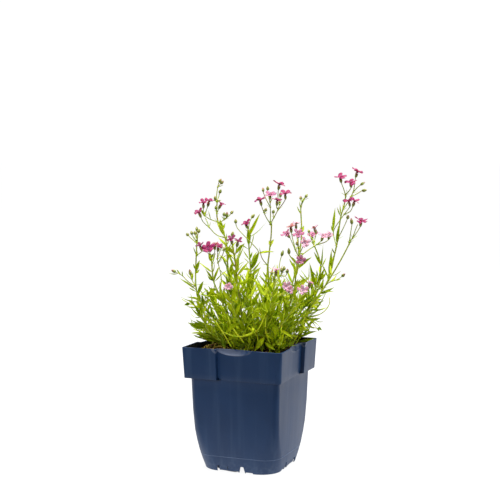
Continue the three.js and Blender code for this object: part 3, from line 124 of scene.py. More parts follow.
def collar_side(inwards, height=None, share=None):
    """One side of the collar at a height, or at a share of the way from the dip's crease to the rim."""
    proud, plain, radius = RIM_HALF - inwards, PLAIN_HALF - inwards, PLAIN_RADIUS - inwards
    slope = (PLAIN_HALF - RECESS_HALF) / (SIDE_END - STEP_MIDDLE)
    shifted = np.interp(
        stations, [SIDE_START, STEP_START, STEP_END, STEADY_FROM, SIDE_END],
        [SIDE_START + inwards, STEP_START - inwards, STEP_END - inwards, STEADY_FROM, SIDE_END])
    plan = corner_arc(-proud + PROUD_RADIUS, -proud + PROUD_RADIUS, PROUD_RADIUS, 225)
    for station, back, x in zip(stations, behind, shifted):
        out = slope * (station - STEP_MIDDLE) if back == STEP_DEPTH else 0
        plan.append((x, -proud + back - out))
    plan += corner_arc(plain - radius, -plain + radius, radius, 270)
    points = []
    for x, y in plan:
        z = height
        if share is not None:
            within = [h for h in CREASE_HEIGHTS if dip_face(x, h, inwards) > y * drafted(h)]
            crease = within[0] if within else CREASE_HEIGHTS[-1]
            z = crease + share * (RIM_EDGE - crease)
        points.append((x * drafted(z), max(y * drafted(z), dip_face(x, z, inwards)), z))
    return points


def all_sides(side):
    """The whole outline from one side: mirrored over the plain corners' diagonal, then half a turn."""
    half = side[:-1] + [(-y, -x, z) for x, y, z in reversed(side)][:-1]
    return half + [(-x, -y, z) for x, y, z in half]


def nothing_selected():
    if bpy.context.object and bpy.context.object.mode != "OBJECT":
        bpy.ops.object.mode_set(mode="OBJECT")
    bpy.ops.object.select_all(action="DESELECT")


def select_alone(piece):
    nothing_selected()
    piece.select_set(True)
    bpy.context.view_layer.objects.active = piece


def smooth_under(piece, degrees):
    """Shades a piece smooth, but for edges sharper than an angle."""
    select_alone(piece)
    bpy.ops.object.shade_smooth_by_angle(angle=math.radians(degrees))


def turn_faces_out():
    """Turns every face of the active piece outwards."""
    bpy.ops.object.mode_set(mode="EDIT")
    bpy.ops.mesh.select_all(action="SELECT")
    bpy.ops.mesh.normals_make_consistent(inside=False)
    bpy.ops.object.mode_set(mode="OBJECT")


def drawn_tube(name, rows, close=("FACE", "FACE")):
    """A circle extruded once for each row of points and set onto the rows, its ends closed."""
    nothing_selected()
    around = len(rows[0])
    bpy.ops.mesh.primitive_circle_add(vertices=around, radius=1, fill_type="NOTHING")
    piece = bpy.context.object
    piece.name = piece.data.name = name
    bpy.ops.object.mode_set(mode="EDIT")
    for _ in rows[1:]:
        bpy.ops.mesh.extrude_region_move(TRANSFORM_OT_translate={"value": (0, 0, 1)})
    bpy.ops.object.mode_set(mode="OBJECT")
    ends = [[], []]
    for vertex in piece.data.vertices:
        row = round(vertex.co.z)
        turn = round(math.atan2(vertex.co.y, vertex.co.x) / math.tau * around) % around
        vertex.co = [value * MM for value in rows[row][turn]]
        if row in (0, len(rows) - 1):
            ends[row > 0].append(vertex.index)
    for end, closing in zip(ends, close):
        bpy.ops.object.mode_set(mode="EDIT")
        bpy.ops.mesh.select_all(action="DESELECT")
        bpy.ops.object.mode_set(mode="OBJECT")
        for index in end:
            piece.data.vertices[index].select = True
        bpy.ops.object.mode_set(mode="EDIT")
        if closing == "FACE":
            bpy.ops.mesh.edge_face_add()
        else:
            bpy.ops.mesh.merge(type="CENTER")
        bpy.ops.object.mode_set(mode="OBJECT")
    turn_faces_out()
    return piece


def cut_or_join(piece, tool, operation):
    """A Boolean with a tool that is then thrown away."""
    select_alone(piece)
    modifier = piece.modifiers.new("cut", "BOOLEAN")
    modifier.operation, modifier.solver, modifier.object = operation, "EXACT", tool
    bpy.ops.object.modifier_apply(modifier=modifier.name)
    bpy.data.objects.remove(tool)


def foot_cutter(low_ends, high_ends, depth, low, high):
    """A block set through one side of the foot ring, and its copies on the other three sides."""
    nothing_selected()
    copies = []
    for mirrored in (False, True):
        for half_turn in (1, -1):
            bpy.ops.mesh.primitive_cube_add(size=2)
            block = bpy.context.object
            for vertex in block.data.vertices:
                ends, z = (low_ends, low) if vertex.co.z < 0 else (high_ends, high)
                x = ends[0] if vertex.co.x < 0 else ends[1]
                face = float(np.interp(max(z, 0), BODY_HEIGHTS, BODY_HALVES))
                y = -(face + CUTTER_CLEAR) if vertex.co.y < 0 else depth - face
                x, y = (-y * half_turn, -x * half_turn) if mirrored else (x * half_turn, y * half_turn)
                vertex.co = (x * MM, y * MM, z * MM)
            copies.append(block)
    for block in copies:
        block.select_set(True)
    bpy.ops.object.join()
    turn_faces_out()
    return bpy.context.object


# the floor's underside, the foot, up the body past the seam line, and the ledge under the collar
sides = [body_side(FLOOR_HEIGHT, WALL), body_side(0, WALL - FOOT_ROUNDING), body_side(0, FOOT_ROUNDING)]
sides += [body_side(height) for height in (0.3, 1.5, 3, 5, 7, 10, 13, SEAM_LOW - SEAM_EDGE)]
sides += [body_side(height, -SEAM_PROUD) for height in (SEAM_LOW, SEAM_HIGH)]
sides += [body_side(height)
          for height in (SEAM_HIGH + SEAM_EDGE, 20, 25, 31, 37, 43, 53, 64, 75, 86, 96.6)]
sides.append([(x * LEDGE_OVERHANG, y * LEDGE_OVERHANG, z) for x, y, z in body_side(COLLAR_FOOT)])
# up the collar, through its dips and over the rounded rim
for inwards, height in ((0.45, 97.5), (0.12, 97.6), (0, 97.95), (0, 104), (0, 111), (0, 117)):
    sides.append(collar_side(inwards, height))
sides += [collar_side(0, share=share) for share in np.linspace(0, 1, DIP_ROWS)]
for inwards, height in ((0.13, 129.85), (0.42, 130), (0.98, 130), (1.27, 129.85)):
    sides.append(collar_side(inwards, height))
# and down again inside
first_inner_row = len(sides)
sides += [collar_side(WALL, share=share) for share in np.linspace(1, 0, DIP_ROWS)]
sides += [collar_side(WALL, height) for height in (116, 107, COLLAR_FOOT + WALL)]
sides.append([(x, y, COLLAR_FOOT + WALL) for x, y, _ in body_side(COLLAR_FOOT, WALL)])
sides += [body_side(height, WALL) for height in (96, 80, 64, 43, 31, 20, 12, FLOOR_HEIGHT + WALL)]
pot_rows = [all_sides(side) for side in sides]
pot = drawn_tube("nursery_pot", pot_rows)

# cuts in each side of the foot ring: its ends along the side below and above, its depth, from and to
FOOT_CUTS = [
    ((-21, 3), (-21, 3), 1, 1, 6),  # a shallow recess
    ((-21, 3), (-21, 3), 4, -1, 1),  # over a gap to the ground
    ((3, 10.5), (5.3, 8.6), 4, -1, 6.8),  # a notch, narrower above
    ((10.5, 18.6), (10.5, 18.6), 4, -1, 1.2),  # under the raised skirt
    ((-21.1, -18.7), (-21.1, -18.7), 4, 0.5, 6),  # two slots
    ((-9.95, -9.05), (-9.95, -9.05), 4, 0.5, 6),
]
DRAIN_HOLES, DRAIN_RADIUS, DRAIN_DEPTH, DRAIN_AWAY = 4, 4, 6, 26
PAD_LOW_RADIUS, PAD_HIGH_RADIUS, PAD_HEIGHT = 5, 6, 7.7
ROUND_SIDES, POT_SMOOTH = 32, 28
for cut in FOOT_CUTS:
    cut_or_join(pot, foot_cutter(*cut), "DIFFERENCE")
for quarter in range(DRAIN_HOLES):
    angle = quarter * math.pi / 2
    x, y = DRAIN_AWAY * MM * math.cos(angle), DRAIN_AWAY * MM * math.sin(angle)
    nothing_selected()
    bpy.ops.mesh.primitive_cylinder_add(
        vertices=ROUND_SIDES, radius=DRAIN_RADIUS * MM, depth=DRAIN_DEPTH * MM,
        location=(x, y, FLOOR_HEIGHT * MM))
    cut_or_join(pot, bpy.context.object, "DIFFERENCE")
nothing_selected()
bpy.ops.mesh.primitive_cone_add(
    vertices=ROUND_SIDES, radius1=PAD_LOW_RADIUS * MM, radius2=PAD_HIGH_RADIUS * MM,
    depth=PAD_HEIGHT * MM, location=(0, 0, PAD_HEIGHT / 2 * MM))
cut_or_join(pot, bpy.context.object, "UNION")
smooth_under(pot, POT_SMOOTH)
inner_points = {tuple(round(value, 3) for value in point)
                for row in pot_rows[first_inner_row:] for point in row}
inside = [float(tuple(round(value / MM, 3) for value in vertex.co) in inner_points)
          for vertex in pot.data.vertices]
pot.data.attributes.new("inside", "FLOAT", "POINT").data.foreach_set("value", inside)
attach(pot, "root")
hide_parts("pot")


class Reading:
    """A socket whose value varies over a surface. Python's operators on it add Math nodes."""

    def __init__(self, finish, socket):
        self.finish, self.socket = finish, socket

    def math(self, operation, *values):
        return self.finish.node("ShaderNodeMath", {"operation": operation}, dict(enumerate(values)))

    def __add__(self, other):
        return self.math("ADD", self, other)

    def __sub__(self, other):
        return self.math("SUBTRACT", self, other)

    def __rsub__(self, other):
        return self.math("SUBTRACT", other, self)

    def __mul__(self, other):
        return self.math("MULTIPLY", self, other)

    def __truediv__(self, other):
        return self.math("DIVIDE", self, other)

    def __pow__(self, other):
        return self.math("POWER", self, other)

    def __abs__(self):
        return self.math("ABSOLUTE", self)

    __radd__, __rmul__ = __add__, __mul__

    def within(self, low, high):
        """0 at or below low, 1 at or above high, and smooth between."""
        return self.finish.node("ShaderNodeMapRange", {"interpolation_type": "SMOOTHSTEP"},
                                {"Value": self, "From Min": low, "From Max": high})


class Finish:
    """A surface finish in the making: constants go straight to the shader, and methods add nodes."""

    def __init__(self, name, **constants):
        self.material = bpy.data.materials.new(name)
        self.material.use_nodes = True
        self.tree = self.material.node_tree
        self.shader = self.tree.nodes["Principled BSDF"]
        for socket, value in constants.items():
            self.shader.inputs[socket.replace("_", " ")].default_value = value
        self.place = self.node("ShaderNodeTexCoord", output="Object")

    def node(self, kind, settings=None, sockets=None, output=0):
        made = self.tree.nodes.new(kind)
        for setting, value in (settings or {}).items():
            if setting == "stops":
                ramp = made.color_ramp.elements
                while len(ramp) < len(value):
                    ramp.new(0.5)
                for stop, (position, tint) in zip(ramp, value):
                    stop.position, stop.color = position, tint
            else:
                setattr(made, setting, value)
        for socket, value in (sockets or {}).items():
            if isinstance(value, Reading):
                self.tree.links.new(value.socket, made.inputs[socket])
            else:
                made.inputs[socket].default_value = value
        return Reading(self, made.outputs[output])

    def mixed(self, share, first, second):
        """One colour mixed into another by a share."""
        return self.node("ShaderNodeMix", {"data_type": "RGBA"}, {0: share, 6: first, 7: second}, 2)

    def ramp(self, share, *stops):
        """A colour between stops, each a place from 0 to 1 and its colour."""
        return self.node("ShaderNodeValToRGB", {"stops": stops}, {"Fac": share})

    def noise(self, scale, detail=3, stretch=(1, 1, 1), roughness=0.5):
        """Cloudy noise over the object, its scale in grains a metre."""
        place = self.place
        if stretch != (1, 1, 1):
            place = self.node("ShaderNodeMapping", {}, {"Vector": self.place, "Scale": stretch})
        return self.node("ShaderNodeTexNoise", {}, {"Vector": place, "Scale": scale, "Detail": detail,
                                                    "Roughness": roughness})

    def along(self, axis):
        """How far along one of the object's axes, in metres."""
        return self.node("ShaderNodeSeparateXYZ", {}, {0: self.place}, axis)

    def feature(self, name):
        """One of the numbers that a piece keeps at its points."""
        return self.node("ShaderNodeAttribute", {"attribute_name": name}, output="Fac")

    def paint(self, socket, reading):
        self.tree.links.new(reading.socket, self.shader.inputs[socket])
        return self

    def relief(self, height, depth, strength=1.0):
        """Fine relief of a depth in metres."""
        return self.paint("Normal", self.node("ShaderNodeBump", {}, {"Height": height, "Distance": depth,
                                                                     "Strength": strength}))


def tint(red, green, blue):
    """A colour from the eye's 0 to 255 as light."""
    def light(value):
        value = value / 255
        return value / 12.92 if value <= 0.04045 else ((value + 0.055) / 1.055) ** 2.4
    return (light(red), light(green), light(blue), 1)


plastic = Finish("blue_plastic", IOR=1.5)
clouds = plastic.noise(22, 2)
flow = plastic.noise(60, 3, (1, 1, 0.06))
height = plastic.along(2)
dust = (1 - height.within(0.0, 0.02)) * plastic.noise(260, 3).within(0.4, 0.75)
scuffs = plastic.noise(420, 2, (0.25, 0.25, 1.6)).within(0.68, 0.78)
scuffs = scuffs * plastic.noise(35, 2).within(0.5, 0.7)
colour = plastic.mixed(clouds.within(0.3, 0.7) * 0.5 + flow * 0.3, tint(21, 53, 94), tint(30, 64, 108))
# paler vertical streaks: flow lines in the plastic, and in part a painted reflection, the streaked sheen
# of the bright side face
streaks = plastic.noise(150, 2, (1, 1, 0.03)).within(0.45, 0.8)
colour = plastic.mixed(streaks * 0.4, colour, tint(62, 88, 124))
colour = plastic.mixed(dust * 0.3 + scuffs * 0.22, colour, tint(112, 128, 150))
# painted highlight: the seam ridge round the foot is painted lighter, as if it caught the light
painted_seam_highlight = height.within(0.0157, 0.016) - height.within(0.0163, 0.0166)
colour = plastic.mixed(painted_seam_highlight * 0.55, colour, tint(112, 132, 164))
# painted highlight: the top of the rim is painted lighter in patches, where it catches the light
lip = height.within(0.1296, 0.13) * plastic.noise(45, 2).within(0.35, 0.7)
colour = plastic.mixed(lip * 0.6, colour, tint(120, 128, 152))
# painted highlight: the edges of the dips are painted pale, where the rim catches the light
aside, deep = (abs(plastic.along(axis)) for axis in (0, 1))
dip_place = zip((aside.math("MINIMUM", aside, deep), aside.math("MAXIMUM", aside, deep), height),
                (0, DIP_OUTSIDE, POT_HEIGHT), DIP_RADII)
off_dip = abs(sum(((place - at * MM) / (radius * MM)) ** 2 for place, at, radius in dip_place) - 1)
painted_dip_highlight = (1 - off_dip.within(0.06, 0.24)) * plastic.noise(90, 2).within(0.25, 0.6)
colour = plastic.mixed(painted_dip_highlight * 0.55, colour, tint(126, 134, 154))
# near black inside: the pot's own black inner layer, darkened further as painted shade within the pot
inside = plastic.feature("inside")
colour = plastic.mixed(inside, colour, tint(9, 14, 24))
plastic.paint("Base Color", colour)
plastic.paint("Roughness", 0.28 + 0.1 * clouds + 0.22 * flow + 0.2 * dust + 0.5 * inside)
plastic.relief(0.75 * plastic.noise(34, 2) + 0.2 * flow + 0.03 * plastic.noise(1500, 2), 0.0006, 0.6)
pot.data.materials.clear()
pot.data.materials.append(plastic.material)

# ---------------------------------------------------------------------------------------------
# The compost: a dark peat mix filled to just under the rim, its surface crumbly and strewn with
# crumbs of bark and peat, straw and moss.
# ---------------------------------------------------------------------------------------------
SOIL_EDGE, SOIL_DOME, SOIL_SPREAD, SOIL_LUMP = 122.6, 4, 32, 0.8
# the lumps and crumbs on it: how fine they are and how high they stand
LUMP_GRAIN, LUMP_RISE, CRUMB_GRAIN, CRUMB_RISE, MEAN_RISE = 0.16, 1.1, 0.55, 1.3, 0.5
SOIL_INWARDS = WALL + 0.1
SOIL_HEIGHTS, SOIL_LEDGE, SOIL_MIDDLE, SOIL_RIM = (8.6, 14, 20, 31, 43, 64, 80, 97), 99.1, 110, 123.5
SOIL_RINGS, RIM_SINK, SOIL_SMOOTH = (1, 0.985, 0.965, *np.linspace(0.94, 0.02, 34)), -0.4, 60


def soil_height(x, y):
    """The compost's mean surface."""
    dome = SOIL_DOME * np.exp(-(x * x + y * y) / (2 * SOIL_SPREAD * SOIL_SPREAD))
    return SOIL_EDGE + dome + SOIL_LUMP * np.sin(x * 0.31 + 1) * np.cos(y * 0.27 - 0.4)


def crumbly(x, y):
    """How far the compost's lumps and crumbs stand over its mean surface."""
    lumps = noise.fractal((x * LUMP_GRAIN, y * LUMP_GRAIN, 3), 0.9, 2.1, 4)
    crumbs = abs(noise.noise((x * CRUMB_GRAIN, y * CRUMB_GRAIN, 9)))
    return MEAN_RISE + LUMP_RISE * lumps + CRUMB_RISE * crumbs


compost_rows = [all_sides(body_side(height, SOIL_INWARDS)) for height in SOIL_HEIGHTS]
compost_rows.append(all_sides([(x, y, SOIL_LEDGE) for x, y, _ in body_side(COLLAR_FOOT, SOIL_INWARDS)]))
compost_rows += [all_sides(collar_side(SOIL_INWARDS, height)) for height in (SOIL_LEDGE, SOIL_MIDDLE)]
edge = all_sides(collar_side(SOIL_INWARDS, SOIL_RIM))
for inner in SOIL_RINGS:
    row = []
    for x, y, _ in edge:
        x, y = x * inner, y * inner
        rise = crumbly(x, y) if inner < 1 else RIM_SINK
        row.append((x, y, float(soil_height(x, y)) + rise))
    compost_rows.append(row)
compost = drawn_tube("compost", compost_rows, ("FACE", "MERGE"))
smooth_under(compost, SOIL_SMOOTH)
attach(compost, "root")
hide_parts("soil")

peat = Finish("peat", Roughness=0.95)
grains = peat.noise(420, 6, roughness=0.7)
clods = peat.node("ShaderNodeTexVoronoi", {}, {"Vector": peat.place, "Scale": 330})
colour = peat.ramp(grains, (0.3, tint(30, 19, 8)), (0.48, tint(70, 48, 20)),
                   (0.62, tint(104, 78, 34)), (0.8, tint(150, 118, 60)))
peat.paint("Base Color", peat.mixed(clods.within(0, 0.9) * 0.5, colour, tint(22, 15, 11)))
peat.relief(grains + 0.5 * clods, 0.0012)
compost.data.materials.append(peat.material)

# each kind of crumb is shaped once and strewn: name, count, sizes along, across and up, tint
LITTER = [
    ("bark", 170, (3.6, 1.6, 0.8), tint(140, 84, 40)),
    ("clod", 220, (1.5, 1.2, 0.9), tint(44, 29, 19)),
    ("straw", 130, (8, 0.6, 0.45), tint(222, 190, 96)),
    ("moss", 120, (2.8, 1.5, 1.1), tint(158, 156, 36)),
]
LITTER_REACH, WALL_REACH = 49, 46
GRAIN_UNEVEN, GRAIN_TILT, GRAIN_SCALES, GRAIN_RISE = 0.22, 0.25, (0.6, 1.3), 0.25
# a share of it lies heaped in the front left corner
HEAP_SHARE, HEAP_PLACE, HEAP_SPREAD, HEAP_RISE, HEAP_FALL = 0.45, (-26, -34), (10, 7), 8, 200
litter_rng = np.random.default_rng(5)
for name, count, sizes, shade in LITTER:
    nothing_selected()
    bpy.ops.mesh.primitive_ico_sphere_add(subdivisions=1, radius=0.5)
    grain = bpy.context.object
    bpy.ops.object.mode_set(mode="EDIT")
    bpy.ops.transform.vertex_random(offset=GRAIN_UNEVEN, seed=len(name))
    bpy.ops.object.mode_set(mode="OBJECT")
    shape = np.array([vertex.co for vertex in grain.data.vertices]) * sizes
    faces = [tuple(face.vertices) for face in grain.data.polygons]
    bpy.data.objects.remove(grain)
    points, corners = [], []
    while len(points) < count:
        x, y = litter_rng.uniform(-LITTER_REACH, LITTER_REACH, 2)
        heap = 0
        if litter_rng.uniform() < HEAP_SHARE:
            x, y = litter_rng.normal(HEAP_PLACE, HEAP_SPREAD)
            fall = math.exp(-math.dist((x, y), HEAP_PLACE) ** 2 / HEAP_FALL)
            heap = HEAP_RISE * litter_rng.uniform() * fall
        turn, tilt = litter_rng.uniform(0, math.tau), litter_rng.normal(0, GRAIN_TILT)
        scale = litter_rng.uniform(*GRAIN_SCALES)
        if max(abs(x), abs(y)) > WALL_REACH:
            continue
        cos, sin = math.cos(turn), math.sin(turn)
        along = np.array((cos * math.cos(tilt), sin * math.cos(tilt), math.sin(tilt)))
        aside = np.array((-sin, cos, 0))
        over = np.cross(along, aside)
        surface = float(soil_height(x, y)) + crumbly(x, y) + GRAIN_RISE * sizes[2] + heap
        corners += [tuple(corner + len(points) * len(shape) for corner in face) for face in faces]
        turned = shape[:, :1] * along + shape[:, 1:2] * aside + shape[:, 2:] * over
        points.append((x, y, surface) + scale * turned)
    mesh = bpy.data.meshes.new(name)
    mesh.from_pydata((np.vstack(points) * MM).tolist(), [], corners)
    piece = bpy.data.objects.new("litter_" + name, mesh)
    bpy.context.collection.objects.link(piece)
    finish = Finish("litter_" + name, Roughness=0.85)
    worn = finish.noise(500, 4).within(0.3, 0.9)
    finish.paint("Base Color", finish.mixed(worn, shade, tint(40, 27, 16)))
    finish.relief(finish.noise(1800, 4, (1, 1, 0.4)), 0.0003)
    mesh.materials.append(finish.material)
    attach(piece, "root")

# ---------------------------------------------------------------------------------------------
# How the plant grows: every stem is written as it is seen from the front, across, up and toward
# the eye, and the leaf pairs and depths follow from a rule that keeps blades and petals apart.
# ---------------------------------------------------------------------------------------------
VIEW_TURN = math.radians(21.862)
EYE_ACROSS, EYE_UP, EYE_AWAY = -1.02, 332.7, 1248
STEM_RADIUS, SIDE_RADIUS, HEAD_RADIUS, LEAF_THICKNESS, LEAF_FULLNESS = 1, 0.7, 1.7, 0.8, 0.75
# what the rule keeps clear, and how finely it looks
GAP, RIM_CLEAR, RULE_GAP, SAMPLE_STEP, NEAR_BY, MOST_BALLS = 0.3, 1.5, 0.17, 1.3, 8, 60000
FOOT_DEPTH, FOOT_TOP, FOOT_RISE = 6, 1.5, 3
KNOT_STEP, KNOT_SAMPLES = 16, 5
SHIFTS = (0, 3, -3, 6, -6, 9, -9, 12, -12, 16, -16, 20, -20)
# leaf pairs: how far they open in degrees, their scatter, and their other tries where there is no room
PAIR_OPENING, PAIR_LENGTHS, PAIR_WIDTHS = (26, 50), (0.8, 1.2), (0.85, 1.1)
PAIR_TWIST, PAIR_SWAY = 0.6, 18
TIP_SWAY, PAIR_ARCH, LEAF_TRIES, TRY_TURN, TRY_SHORTENING = 3, 0.4, 6, 50, 0.07
# blooms: the calyx, the petals' middle lines, how they turn and droop, and how broad they are kept
CALYX_LENGTH, EYE_RISE, BEND_RISE, BEND_SHARE, TIP_RISE = 5, 1, 2.4, 0.22, 2
PETALS, BLOOM_SPIN, PETAL_DROOP, BLOOM_LEAN = 5, (0, 1.25), (-0.8, 0.9), 0.3
PETAL_PLACES, PETAL_SHARE, PETAL_BROAD, PETAL_TRIM = (0.45, 0.65, 0.85, 1), 0.14, 0.8, 0.8

ACROSS = np.array((math.cos(VIEW_TURN), math.sin(VIEW_TURN), 0))
TOWARD = np.array((math.sin(VIEW_TURN), -math.cos(VIEW_TURN), 0))
UP = np.array((0.0, 0.0, 1.0))

